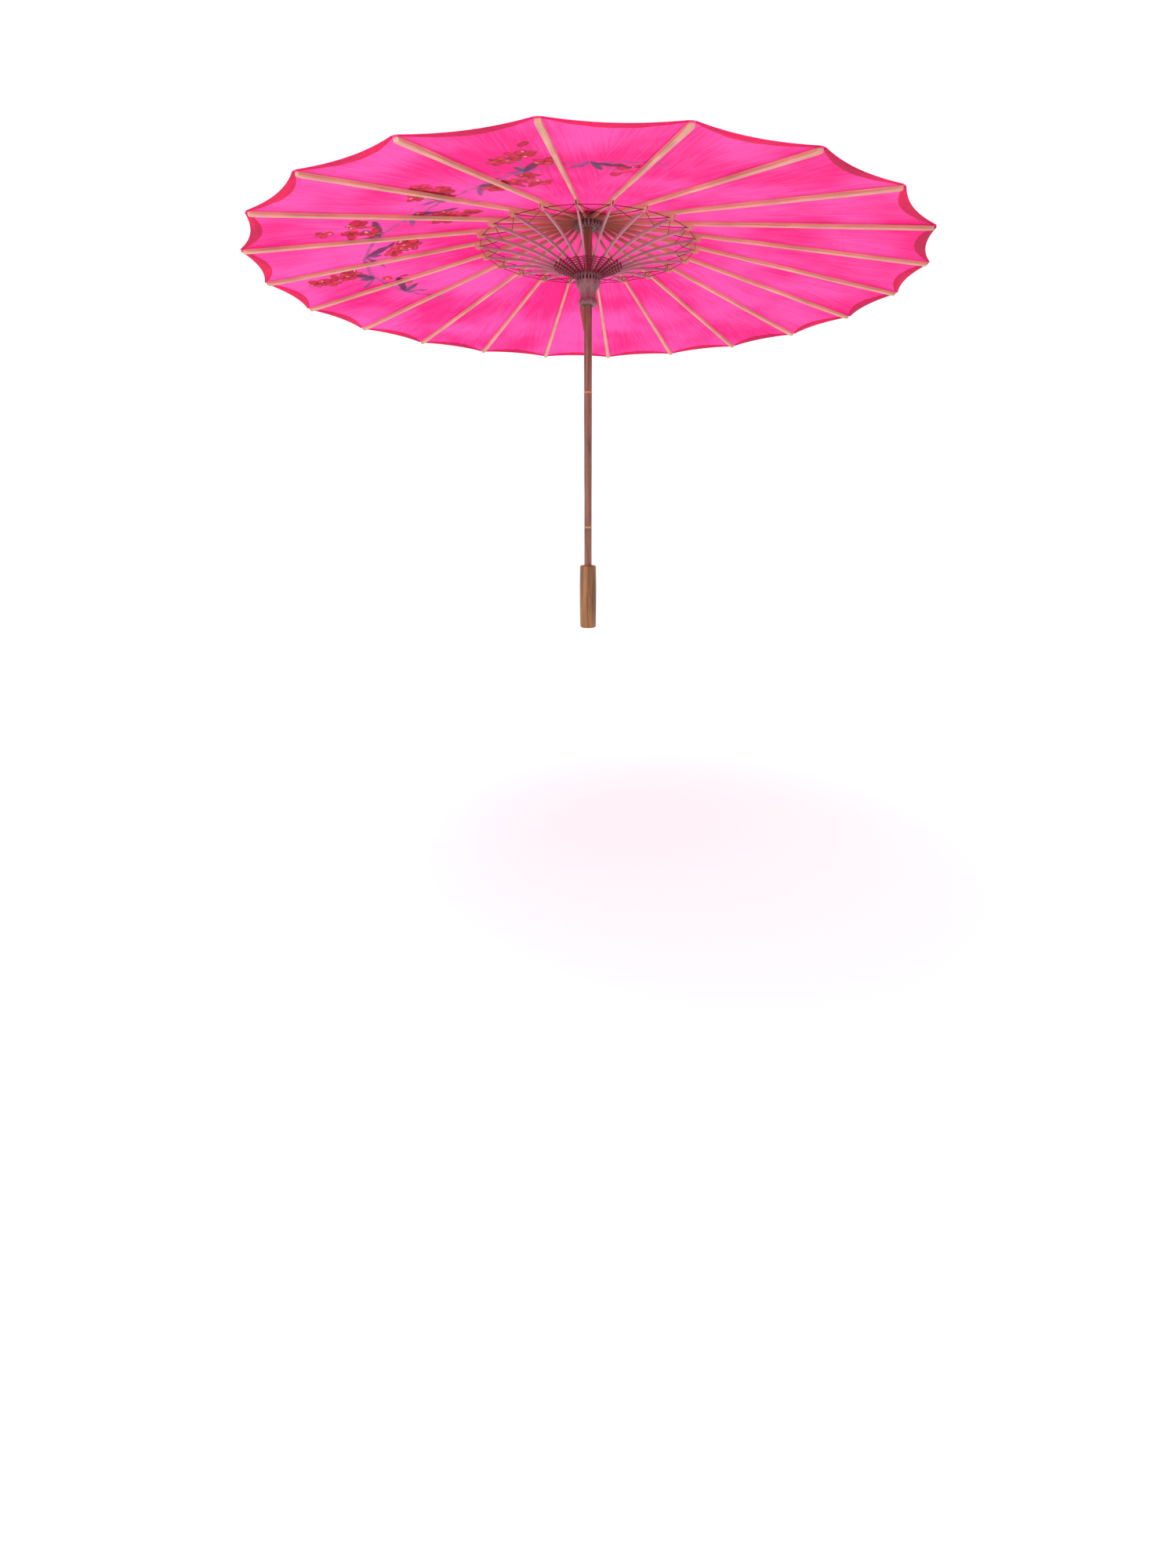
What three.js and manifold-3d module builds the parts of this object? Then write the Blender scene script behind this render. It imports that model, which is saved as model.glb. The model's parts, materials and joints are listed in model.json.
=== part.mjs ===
// A hand-held parasol with a bamboo frame: a straight pole with a turned handle, a slotted top
// hub, a slotted runner that slides on the pole, twenty-two ribs with one strut each, a thin
// cloth canopy, a frill and a cap on top, and a spring catch below the runner.
//
// Millimetres. The Z axis is the axis of the pole, and the handle stands on z = 0. The parasol is
// modelled fully open. Rib 01 points to -Y, and the numbers go round counterclockwise from above.
import * as THREE from "three";
import { mergeVertices } from "three/addons/utils/BufferGeometryUtils.js";
import Module from "manifold-3d";

// ---- Driving dimensions -----------------------------------------------------------------------

// The fan of ribs.
const RIB_COUNT = 22;
const OPEN_RADIUS = 410; // from the pole's axis to the points of the canopy
const RIB_SLOPE = THREE.MathUtils.degToRad(10); // below horizontal when open
const PIVOT_RADIUS = 13; // of the wire rings in the hub and in the runner
const PIVOT_HEIGHT = 500; // of the ring in the hub
const RIB_REACH = 397; // from the hub's pivot to the rib's tip
const LINK = 126; // hub pivot to strut joint, and strut joint to runner pivot
const JOINT_DROP = 7.7; // of the strut joint below the hub's pivot, square to the rib
const GAP = 0.3; // between pieces that touch

// The pole and its handle.
const POLE_RADIUS = 5.3;
const POLE_FOOT = 20;
const POLE_TOP = 518;
const POLE_NODE_HEIGHTS = [142, 312]; // the bamboo's joints
const POLE_NODE_SWELL = 0.35;
const HANDLE_RADIUS = 12.2;
const HANDLE_LENGTH = 90;

// The hub and the runner.
const HUB_RADIUS = 17.5;
const HUB_BOTTOM = PIVOT_HEIGHT - 8;
const HUB_TOP = PIVOT_HEIGHT + 5.5;
const BORE_RADIUS = 6.2;
const SLOT_WIDTH = 2.1;
const SLOT_INNER_RADIUS = 10.4;
const RUNNER_RADIUS = 15.8;
const RUNNER_NECK_RADIUS = 10.2;
const RUNNER_FOOT_RADIUS = 12.6;
const RUNNER_LENGTH = 35;
const RUNNER_CROWN = 15;
const WIRE_RADIUS = 0.6;
const WIRE_CHANNEL_RADIUS = 1.05;

// The canopy and what sits on it.
const CLOTH = 0.5;
const SCALLOP = 10; // depth of the hem's curve between two ribs
const SAG = 2.5; // of the cloth between two ribs, near the hem
const FRILL_RADIUS = 45;
const FRILL_LOBES = 4;
const CAP_RADIUS = 9.2;
const CAP_TOP = 527;

// The spring catch.
const CATCH_WIDTH = 2.2;
const CATCH_LENGTH = 28;
const CATCH_SLOPE = 0.95; // fall of its top, so that it clears the runner as it folds in
const CATCH_REACH = 10.6; // from the axis to the catch's corner under the runner

// ---- Derived places ---------------------------------------------------------------------------

const SECTOR = (2 * Math.PI) / RIB_COUNT;
const HALF_SECTOR = SECTOR / 2;
const FIRST_AZIMUTH = -Math.PI / 2;
const JOINT_ALONG = Math.sqrt(LINK * LINK - JOINT_DROP * JOINT_DROP);
const LINK_ANGLE = RIB_SLOPE + Math.asin(JOINT_DROP / LINK); // of the link below horizontal
const JOINT_RADIUS = PIVOT_RADIUS + LINK * Math.cos(LINK_ANGLE);
const JOINT_HEIGHT = PIVOT_HEIGHT - LINK * Math.sin(LINK_ANGLE);
const RUNNER_PIVOT_HEIGHT = PIVOT_HEIGHT - 2 * LINK * Math.sin(LINK_ANGLE);
const RUNNER_TOP = RUNNER_PIVOT_HEIGHT + 4.5;
const RUNNER_BOTTOM = RUNNER_TOP - RUNNER_LENGTH;
const RIB_TOP_LINE = -1; // of the rib's upper face from the hub's pivot, square to the rib

const wasm = await Module();
wasm.setup();

// ---- Materials --------------------------------------------------------------------------------

const MATERIALS = {
  bamboo_pole: { color: 0x8a4a34, roughness: 0.5, metalness: 0 },
  handle_wood: { color: 0xb87f45, roughness: 0.42, metalness: 0 },
  runner_wood: { color: 0x8f6468, roughness: 0.62, metalness: 0 },
  rib_bamboo: { color: 0xe2a981, roughness: 0.58, metalness: 0 },
  strut_bamboo: { color: 0xc793a0, roughness: 0.6, metalness: 0 },
  canopy_cloth: { color: 0xf0409a, roughness: 0.7, metalness: 0 },
  frill_cloth: { color: 0xf5468f, roughness: 0.72, metalness: 0 },
  band_cloth: { color: 0xe8104f, roughness: 0.7, metalness: 0 },
  cap_plastic: { color: 0xff1500, roughness: 0.35, metalness: 0 },
  binding_wire: { color: 0x8c8c90, roughness: 0.4, metalness: 0.9 },
  binding_thread: { color: 0x8e1030, roughness: 0.8, metalness: 0 },
};

const materials = Object.fromEntries(
  Object.entries(MATERIALS).map(([name, values]) => [
    name,
    new THREE.MeshStandardMaterial({ name, ...values }),
  ]),
);

// ---- Closed geometry --------------------------------------------------------------------------

// Joins shared vertices and drops the slivers this leaves, so that the surface is closed.
function closed(geometry) {
  const bare = geometry.clone();
  bare.deleteAttribute("normal");
  bare.deleteAttribute("uv");
  const merged = mergeVertices(bare, 1e-3);
  const index = merged.index.array;
  const kept = [];
  for (let i = 0; i < index.length; i += 3) {
    const [a, b, c] = [index[i], index[i + 1], index[i + 2]];
    if (a !== b && b !== c && c !== a) {
      kept.push(a, b, c);
    }
  }
  merged.setIndex(kept);
  return merged;
}

function toSolid(geometry) {
  const bare = closed(geometry);
  return new wasm.Manifold(
    new wasm.Mesh({
      numProp: 3,
      vertProperties: new Float32Array(bare.attributes.position.array),
      triVerts: new Uint32Array(bare.index.array),
    }),
  );
}

function toGeometry(solid) {
  const mesh = solid.getMesh();
  const geometry = new THREE.BufferGeometry();
  geometry.setAttribute("position", new THREE.BufferAttribute(mesh.vertProperties, 3));
  geometry.setIndex(new THREE.BufferAttribute(mesh.triVerts, 1));
  geometry.computeVertexNormals();
  return geometry;
}

// One solid less every one of the cutters.
function cut(geometry, cutters) {
  let solid = toSolid(geometry);
  for (const cutter of cutters) {
    solid = solid.subtract(toSolid(cutter));
  }
  return toGeometry(solid);
}

// A turned solid about Z. The points are [radius, height] pairs that go up the outside.
function turned(points, segments) {
  const profile = points.map(([radius, height]) => new THREE.Vector2(radius, height));
  return closed(new THREE.LatheGeometry(profile, segments).rotateX(Math.PI / 2));
}

// A turned ring: the same, with the profile closed on itself.
function turnedRing(points, segments) {
  return turned([...points, points[0]], segments);
}

// Moves every vertex of a geometry by a rule that is given its place.
function reshaped(geometry, rule) {
  const places = geometry.attributes.position;
  const place = new THREE.Vector3();
  for (let i = 0; i < places.count; i += 1) {
    place.fromBufferAttribute(places, i);
    rule(place, i);
    places.setXYZ(i, place.x, place.y, place.z);
  }
  return geometry;
}

// A lath along X: a long box whose height and width change from station to station. Each station
// is [along, low, high, width].
function lath(stations) {
  const steps = stations.length - 1;
  const bar = new THREE.BoxGeometry(steps, 1, 1, steps, 1, 1);
  return closed(
    reshaped(bar, (place) => {
      const [along, low, high, width] = stations[Math.round(place.x + steps / 2)];
      place.set(along, place.y * width, place.z > 0 ? high : low);
    }),
  );
}

// A round pin along Y, used to drill a lath.
function crossPin(along, height, radius) {
  const pin = new THREE.CylinderGeometry(radius, radius, 12, 6);
  return closed(pin.translate(along, 0, height));
}

// ---- Ribs and struts --------------------------------------------------------------------------

// A rib in its own frame: the hub's pivot is the origin, and X runs along the rib.
function makeRib() {
  const lugStart = JOINT_ALONG - 4;
  const lugEnd = JOINT_ALONG + 4;
  const lugLow = -JOINT_DROP - 1.9;
  const top = RIB_TOP_LINE;
  const foot = top - 4; // the underside of the slender outer part
  const rib = lath([
    [-1.9, -1.2, 1.2, 1.6],
    [0, -2.2, 2.2, 1.6],
    [6, -2.4, 2, 1.6],
    [12, -3.2, 0.9, 1.7],
    [26, -5.4, top, 1.9],
    [100, -6.2, top, 2.6],
    [lugStart - 4, -7, top, 2.8],
    [lugStart, lugLow, top, 2.8],
    [lugEnd, lugLow, top, 2.8],
    [lugEnd + 8, foot, top, 3],
    [250, foot, top, 4.6],
    [RIB_REACH - 4, foot, top, 6.8],
    [RIB_REACH, foot + 1, top - 0.6, 5.6],
  ]);
  const strutSlot = new THREE.BoxGeometry(24, 1.5, 9);
  strutSlot.translate(JOINT_ALONG + 3, 0, -JOINT_DROP + 2.3 - 4.5);
  return cut(rib, [
    crossPin(0, 0, WIRE_CHANNEL_RADIUS),
    crossPin(JOINT_ALONG, -JOINT_DROP, 0.9),
    closed(strutSlot),
  ]);
}

// A strut in its own frame: the joint on the rib is the origin, and X runs to the runner. The
// strut bows upwards a little between its ends.
function makeStrut() {
  const bow = (along) => 1.6 * Math.sin((Math.PI * along) / LINK);
  const station = (along, half, width) => [
    along,
    bow(along) - half,
    bow(along) + half,
    width,
  ];
  const strut = lath([
    [-1.4, -0.9, 0.9, 0.9],
    [0, -1.6, 1.6, 0.9],
    station(9.5, 1.25, 0.9),
    station(12.5, 1.25, 2.4),
    station(45, 1.25, 2.4),
    station(80, 1.25, 2.3),
    station(115, 1.3, 2),
    station(119, 1.4, 1.5),
    [LINK, -2, 2, 1.5],
    [LINK + 1.7, -1.2, 1.2, 1.5],
  ]);
  return cut(strut, [crossPin(0, 0, 0.9), crossPin(LINK, 0, WIRE_CHANNEL_RADIUS)]);
}

// ---- Hub, runner and their rings --------------------------------------------------------------

// The slots for the ribs or struts: one thin box for each, from the inner radius outwards.
function radialSlots(low, high) {
  const slots = [];
  for (let i = 0; i < RIB_COUNT; i += 1) {
    const slot = new THREE.BoxGeometry(12, SLOT_WIDTH, high - low);
    slot.translate(SLOT_INNER_RADIUS + 6, 0, (low + high) / 2);
    slot.rotateZ(FIRST_AZIMUTH + i * SECTOR);
    slots.push(slot);
  }
  return slots;
}

function makeWire(height) {
  const ring = new THREE.TorusGeometry(PIVOT_RADIUS, WIRE_RADIUS, 5, RIB_COUNT);
  ring.rotateZ(FIRST_AZIMUTH);
  return closed(ring.translate(0, 0, height));
}

// The square channel that the wire lies in, through the walls between the slots.
function wireChannel(height) {
  const half = WIRE_CHANNEL_RADIUS;
  return turnedRing(
    [
      [PIVOT_RADIUS - half, height - half],
      [PIVOT_RADIUS + half, height - half],
      [PIVOT_RADIUS + half, height + half],
      [PIVOT_RADIUS - half, height + half],
    ],
    RIB_COUNT,
  );
}

function makeHub() {
  const body = turnedRing(
    [
      [BORE_RADIUS, HUB_BOTTOM],
      [HUB_RADIUS - 0.8, HUB_BOTTOM],
      [HUB_RADIUS, HUB_BOTTOM + 0.8],
      [HUB_RADIUS, HUB_TOP - 2.8],
      [HUB_RADIUS - 3, HUB_TOP],
      [BORE_RADIUS, HUB_TOP],
    ],
    RIB_COUNT,
  );
  return cut(body, [
    ...radialSlots(HUB_BOTTOM - 1, PIVOT_HEIGHT + 2.7),
    wireChannel(PIVOT_HEIGHT),
  ]);
}

function makeRunner() {
  const crownFoot = RUNNER_TOP - RUNNER_CROWN;
  const body = turnedRing(
    [
      [BORE_RADIUS, RUNNER_BOTTOM],
      [RUNNER_FOOT_RADIUS - 1, RUNNER_BOTTOM],
      [RUNNER_FOOT_RADIUS, RUNNER_BOTTOM + 1.5],
      [RUNNER_FOOT_RADIUS - 0.3, RUNNER_BOTTOM + 4],
      [RUNNER_NECK_RADIUS + 0.4, RUNNER_BOTTOM + 7],
      [RUNNER_NECK_RADIUS, RUNNER_BOTTOM + 12],
      [RUNNER_NECK_RADIUS + 1, RUNNER_BOTTOM + 16],
      [RUNNER_RADIUS - 0.8, crownFoot + 2],
      [RUNNER_RADIUS, crownFoot + 5],
      [RUNNER_RADIUS, RUNNER_TOP],
      [BORE_RADIUS, RUNNER_TOP],
    ],
    RIB_COUNT,
  );
  return cut(body, [
    ...radialSlots(crownFoot + 5.5, RUNNER_TOP + 1),
    wireChannel(RUNNER_PIVOT_HEIGHT),
  ]);
}

// ---- Pole, handle, cap and catch --------------------------------------------------------------

// The slot that the catch folds into, on the pole's -X side.
const CATCH_TOP = RUNNER_BOTTOM - GAP;
const CATCH_FOOT = CATCH_TOP - CATCH_LENGTH;

function makePole() {
  const points = [
    [0, POLE_FOOT],
    [POLE_RADIUS, POLE_FOOT],
  ];
  for (const height of POLE_NODE_HEIGHTS) {
    points.push([POLE_RADIUS, height - 1.6]);
    points.push([POLE_RADIUS + POLE_NODE_SWELL, height - 0.5]);
    points.push([POLE_RADIUS + POLE_NODE_SWELL, height + 0.5]);
    points.push([POLE_RADIUS, height + 1.6]);
  }
  points.push([POLE_RADIUS, POLE_TOP - 1]);
  points.push([POLE_RADIUS - 1, POLE_TOP]);
  points.push([0, POLE_TOP]);
  const slotLength = CATCH_LENGTH + 4;
  const slot = new THREE.BoxGeometry(POLE_RADIUS + 5, CATCH_WIDTH + 0.8, slotLength);
  slot.translate(-(POLE_RADIUS + 5) / 2 + 3, 0, CATCH_FOOT - 2 + slotLength / 2);
  return cut(turned(points, 20), [slot]);
}

// A turned grip with rounded ends and a socket for the pole.
function makeHandle() {
  const socket = POLE_RADIUS + GAP;
  const edge = 3;
  const points = [[0, 0]];
  const steps = 4;
  for (let i = 0; i <= steps; i += 1) {
    const turn = (i / steps) * (Math.PI / 2);
    points.push([
      HANDLE_RADIUS - edge + edge * Math.sin(turn),
      edge - edge * Math.cos(turn),
    ]);
  }
  points.push([HANDLE_RADIUS + 0.2, HANDLE_LENGTH / 2]);
  for (let i = 0; i <= steps; i += 1) {
    const turn = (i / steps) * (Math.PI / 2);
    points.push([
      HANDLE_RADIUS - edge + edge * Math.cos(turn),
      HANDLE_LENGTH - edge + edge * Math.sin(turn),
    ]);
  }
  points.push([socket, HANDLE_LENGTH]);
  points.push([socket, POLE_FOOT - GAP]);
  points.push([0, POLE_FOOT - GAP]);
  return turned(points, 24);
}

// A domed cap with a socket for the top of the pole.
function makeCap() {
  const socket = POLE_RADIUS + GAP;
  const foot = HUB_TOP + 5.9;
  const dome = 8;
  const points = [
    [socket, foot],
    [CAP_RADIUS - 0.5, foot],
    [CAP_RADIUS, foot + 1],
  ];
  const steps = 6;
  for (let i = 0; i < steps; i += 1) {
    const turn = (i / steps) * (Math.PI / 2);
    points.push([CAP_RADIUS * Math.cos(turn) ** 0.7, CAP_TOP - dome + dome * Math.sin(turn)]);
  }
  points.push([0, CAP_TOP]);
  points.push([0, POLE_TOP + GAP]);
  points.push([socket, POLE_TOP + GAP]);
  points.push([socket, foot]);
  return turned(points, 20);
}

// A flat wedge in the pole's slot. It turns on its lower corner, and its top holds the runner up.
function makeCatch() {
  const outline = new THREE.Shape();
  outline.moveTo(POLE_RADIUS - 3.4, 0);
  outline.lineTo(POLE_RADIUS + 0.3, 0);
  outline.lineTo(CATCH_REACH, CATCH_LENGTH - 2.5 - CATCH_SLOPE);
  outline.lineTo(CATCH_REACH, CATCH_LENGTH - CATCH_SLOPE);
  outline.lineTo(POLE_RADIUS + 1, CATCH_LENGTH - CATCH_SLOPE / 2);
  outline.lineTo(POLE_RADIUS - 1.5, CATCH_LENGTH - 8);
  outline.closePath();
  const wedge = new THREE.ExtrudeGeometry(outline, { depth: CATCH_WIDTH, bevelEnabled: false });
  wedge.translate(0, 0, -CATCH_WIDTH / 2);
  wedge.rotateX(Math.PI / 2);
  wedge.rotateZ(Math.PI);
  return closed(wedge.translate(0, 0, CATCH_FOOT));
}

// ---- Cloth pieces -----------------------------------------------------------------------------

// Height of the canopy's underside above the point where its radius meets a rib.
function undersideAt(radius) {
  const onRib =
    PIVOT_HEIGHT +
    (RIB_TOP_LINE + GAP) / Math.cos(RIB_SLOPE) -
    (radius - PIVOT_RADIUS) * Math.tan(RIB_SLOPE);
  const neck = [
    [6.6, HUB_TOP + 0.5],
    [HUB_RADIUS - 2.7, HUB_TOP + 0.5],
    [HUB_RADIUS + 0.8, HUB_TOP - 2.2],
    [38, onRib],
  ];
  for (let i = 1; i < neck.length; i += 1) {
    const [r0, z0] = neck[i - 1];
    const [r1, z1] = neck[i];
    if (radius <= r1) {
      return z0 + ((z1 - z0) * (radius - r0)) / (r1 - r0);
    }
  }
  return onRib;
}

// The open canopy: a turned sheet whose sectors are flattened between the ribs, with a sag and a
// curved hem in the middle of each.
function makeCanopy() {
  const radii = [6.6, HUB_RADIUS - 2.7, HUB_RADIUS + 0.8, 38, 300, OPEN_RADIUS];
  const lower = radii.map((radius) => [radius, 0]);
  const upper = [...radii].reverse().map((radius) => [radius, CLOTH]);
  const sheet = turnedRing([...lower, ...upper], 4 * RIB_COUNT);
  const neckEnd = 38;
  return reshaped(sheet, (place) => {
    const radius = Math.hypot(place.x, place.y);
    const azimuth = Math.atan2(place.y, place.x);
    const turn = (azimuth - FIRST_AZIMUTH) / SECTOR;
    const fromMiddle = (turn - Math.floor(turn) - 0.5) * SECTOR;
    const middle = Math.cos((Math.PI * fromMiddle) / SECTOR) ** 2;
    const share = Math.max(0, (radius - neckEnd) / (OPEN_RADIUS - neckEnd));
    const chord = Math.cos(HALF_SECTOR) / Math.cos(fromMiddle);
    const hem = OPEN_RADIUS * chord - SCALLOP * (1 - (fromMiddle / HALF_SECTOR) ** 2);
    const pull = Math.max(0, (radius - 300) / (OPEN_RADIUS - 300));
    const moved = radius - pull * (OPEN_RADIUS - hem);
    const level = radius > neckEnd ? moved / chord : moved;
    const height = undersideAt(level) - SAG * share * middle + place.z;
    place.set(moved * Math.cos(azimuth), moved * Math.sin(azimuth), height);
  });
}

// The gathered band round the neck, between the canopy and the frill.
function makeFrillBand() {
  const foot = HUB_TOP + 0.5 + CLOTH + GAP;
  return turnedRing(
    [
      [POLE_RADIUS + 1.2, foot],
      [HUB_RADIUS - 2.8, foot],
      [HUB_RADIUS - 1.2, foot + 0.6],
      [HUB_RADIUS - 3, foot + 1.9],
      [POLE_RADIUS + 1.2, foot + 2.4],
    ],
    24,
  );
}

// The frill: a thin sheet that stands out from the neck in soft lobes.
function makeFrill() {
  const foot = HUB_TOP + 4.6;
  const radii = [POLE_RADIUS + 0.8, 14, 24, 35, FRILL_RADIUS];
  const lower = radii.map((radius) => [radius, foot]);
  const upper = [...radii].reverse().map((radius) => [radius, foot + 0.8]);
  const sheet = turnedRing([...lower, ...upper], 48);
  return reshaped(sheet, (place) => {
    const radius = Math.hypot(place.x, place.y);
    const azimuth = Math.atan2(place.y, place.x);
    const out = Math.max(0, (radius - 14) / (FRILL_RADIUS - 14));
    const lobe = Math.cos(FRILL_LOBES * azimuth);
    const reach = radius * (1 + 0.1 * out * lobe);
    place.x *= reach / radius;
    place.y *= reach / radius;
    place.z += out * (2.5 + 8 * Math.cos(2 * FRILL_LOBES * azimuth) * out);
  });
}

// ---- Threads ----------------------------------------------------------------------------------

// The thread through all the strut joints: a polygon with a corner in each joint.
function makeJointThread() {
  const ring = new THREE.TorusGeometry(JOINT_RADIUS, 0.35, 5, RIB_COUNT);
  ring.rotateZ(FIRST_AZIMUTH);
  return closed(ring.translate(0, 0, JOINT_HEIGHT));
}

// The thread that ties the struts together above the runner: it zigzags round under them.
function makeNetThread() {
  const sides = 4;
  const corners = 2 * RIB_COUNT;
  const ring = closed(new THREE.TorusGeometry(32, 0.35, sides, corners));
  const slope = Math.tan(LINK_ANGLE);
  reshaped(ring, (place) => {
    const azimuth = Math.atan2(place.y, place.x);
    const corner = Math.round((azimuth / (2 * Math.PI)) * corners);
    const shift = corner % 2 === 0 ? -4 : 4;
    const radius = Math.hypot(place.x, place.y);
    place.x *= (radius + shift) / radius;
    place.y *= (radius + shift) / radius;
    place.z += RUNNER_PIVOT_HEIGHT + (32 + shift - PIVOT_RADIUS) * slope - 2.3;
  });
  return ring.rotateZ(FIRST_AZIMUTH);
}

// ---- The parasol ------------------------------------------------------------------------------

const parasol = new THREE.Group();

function addMesh(parent, name, geometry, materialName) {
  geometry.computeVertexNormals();
  const mesh = new THREE.Mesh(geometry, materials[materialName]);
  mesh.name = name;
  parent.add(mesh);
  return mesh;
}

addMesh(parasol, "pole", makePole(), "bamboo_pole");
addMesh(parasol, "handle", makeHandle(), "handle_wood");
addMesh(parasol, "hub", makeHub(), "runner_wood");
addMesh(parasol, "hub_wire", makeWire(PIVOT_HEIGHT), "binding_wire");
addMesh(parasol, "runner", makeRunner(), "runner_wood");
addMesh(parasol, "runner_wire", makeWire(RUNNER_PIVOT_HEIGHT), "binding_wire");
addMesh(parasol, "spring_catch", makeCatch(), "rib_bamboo");
addMesh(parasol, "canopy", makeCanopy(), "canopy_cloth");
addMesh(parasol, "frill_band", makeFrillBand(), "band_cloth");
addMesh(parasol, "top_frill", makeFrill(), "frill_cloth");
addMesh(parasol, "cap", makeCap(), "cap_plastic");
addMesh(parasol, "joint_thread", makeJointThread(), "binding_thread");
addMesh(parasol, "net_thread", makeNetThread(), "binding_thread");

const ribGeometry = makeRib();
const strutGeometry = makeStrut();
for (let i = 0; i < RIB_COUNT; i += 1) {
  const number = String(i + 1).padStart(2, "0");
  const spoke = new THREE.Group();
  spoke.rotation.z = FIRST_AZIMUTH + i * SECTOR;
  parasol.add(spoke);

  const rib = addMesh(spoke, `rib_${number}`, ribGeometry, "rib_bamboo");
  rib.position.set(PIVOT_RADIUS, 0, PIVOT_HEIGHT);
  rib.rotation.y = RIB_SLOPE;

  const strut = addMesh(spoke, `strut_${number}`, strutGeometry, "strut_bamboo");
  strut.position.set(JOINT_RADIUS, 0, JOINT_HEIGHT);
  strut.rotation.set(0, -LINK_ANGLE, Math.PI);
}

export default parasol;
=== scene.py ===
import json
import logging
import math
from dataclasses import dataclass, field
from enum import Enum

import bpy
import numpy as np
from mathutils import Matrix, Vector

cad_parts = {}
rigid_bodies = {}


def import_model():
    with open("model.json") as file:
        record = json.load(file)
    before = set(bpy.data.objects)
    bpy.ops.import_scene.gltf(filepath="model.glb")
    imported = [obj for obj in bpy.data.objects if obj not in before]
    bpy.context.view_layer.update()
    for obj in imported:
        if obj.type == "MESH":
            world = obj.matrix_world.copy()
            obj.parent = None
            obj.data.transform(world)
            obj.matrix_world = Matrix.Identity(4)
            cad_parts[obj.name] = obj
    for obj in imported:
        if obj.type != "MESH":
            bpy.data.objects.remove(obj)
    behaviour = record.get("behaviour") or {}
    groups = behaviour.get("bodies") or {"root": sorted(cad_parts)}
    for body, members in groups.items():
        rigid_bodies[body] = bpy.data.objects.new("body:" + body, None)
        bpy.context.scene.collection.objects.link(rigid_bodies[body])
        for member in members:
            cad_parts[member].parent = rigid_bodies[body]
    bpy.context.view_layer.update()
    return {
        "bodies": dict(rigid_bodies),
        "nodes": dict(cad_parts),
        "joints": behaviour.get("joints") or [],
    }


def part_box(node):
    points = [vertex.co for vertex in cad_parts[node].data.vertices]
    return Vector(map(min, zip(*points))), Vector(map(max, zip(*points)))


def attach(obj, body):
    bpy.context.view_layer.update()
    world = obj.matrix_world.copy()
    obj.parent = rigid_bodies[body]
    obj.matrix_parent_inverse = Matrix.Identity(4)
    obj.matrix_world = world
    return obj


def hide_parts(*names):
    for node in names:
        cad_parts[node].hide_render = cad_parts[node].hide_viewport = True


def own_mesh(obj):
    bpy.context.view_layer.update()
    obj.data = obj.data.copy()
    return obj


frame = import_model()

LOG = logging.getLogger("parasol")
MM = 0.001


# ---- Small tools -----------------------------------------------------------------------------


def linear(colour: str) -> tuple[float, float, float, float]:
    """Turn an sRGB hex colour into linear light.

    Args:
        colour: six hex digits.

    Returns:
        Red, green, blue and an alpha of 1.
    """
    parts = [int(colour[i : i + 2], 16) / 255 for i in (0, 2, 4)]
    lit = [c / 12.92 if c <= 0.04045 else ((c + 0.055) / 1.055) ** 2.4 for c in parts]
    return (*lit, 1.0)


COLOURS = {"data_type": "RGBA"}
FACTOR, FIRST, SECOND, MIXED = 0, 6, 7, 2  # sockets of a mix of colours


def add_node(tree: bpy.types.NodeTree, kind: str, inputs: dict | None = None) -> bpy.types.Node:
    """Add a shader node.

    Args:
        tree: the material's tree.
        kind: the node's type name, without its prefix.
        inputs: by property name, socket name or socket number, either a value, an output
            socket to link, or another node, which stands for its result.

    Returns:
        The new node.
    """
    made = tree.nodes.new("ShaderNode" + kind)
    for key, value in (inputs or {}).items():
        if isinstance(value, bpy.types.Node):
            value = value.outputs[MIXED if value.bl_idname == "ShaderNodeMix" else 0]
        if isinstance(value, bpy.types.NodeSocket):
            tree.links.new(value, made.inputs[key])
        elif hasattr(made, str(key)):
            setattr(made, key, value)
        else:
            made.inputs[key].default_value = value
    return made


def start_material(name: str) -> tuple[bpy.types.Material, bpy.types.NodeTree, bpy.types.Node]:
    """Start a material that holds nothing but its coordinates.

    Args:
        name: the finish.

    Returns:
        The material, its tree, and the node that gives map and object coordinates.
    """
    material = bpy.data.materials.new(name)
    material.use_nodes = True
    material.node_tree.nodes.clear()
    return material, material.node_tree, add_node(material.node_tree, "TexCoord")


def heights(node: str) -> tuple[float, float]:
    """Lowest and highest point of a CAD node, in millimetres."""
    low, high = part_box(node)
    return low[2] / MM, high[2] / MM


def fit(piece: bpy.types.Object, body: str, slot: str, *nodes: str) -> None:
    """Fit a piece to the frame.

    Args:
        piece: the piece.
        body: the body that it rides on.
        slot: not used.
        nodes: the CAD nodes that it stands for.
    """
    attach(piece, body)
    if nodes:
        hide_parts(*nodes)


def smoothstep(x: np.ndarray) -> np.ndarray:
    """Rise from 0 to 1 with no slope at either end."""
    t = np.clip(x, 0, 1)
    return t * t * (3 - 2 * t)


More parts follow.
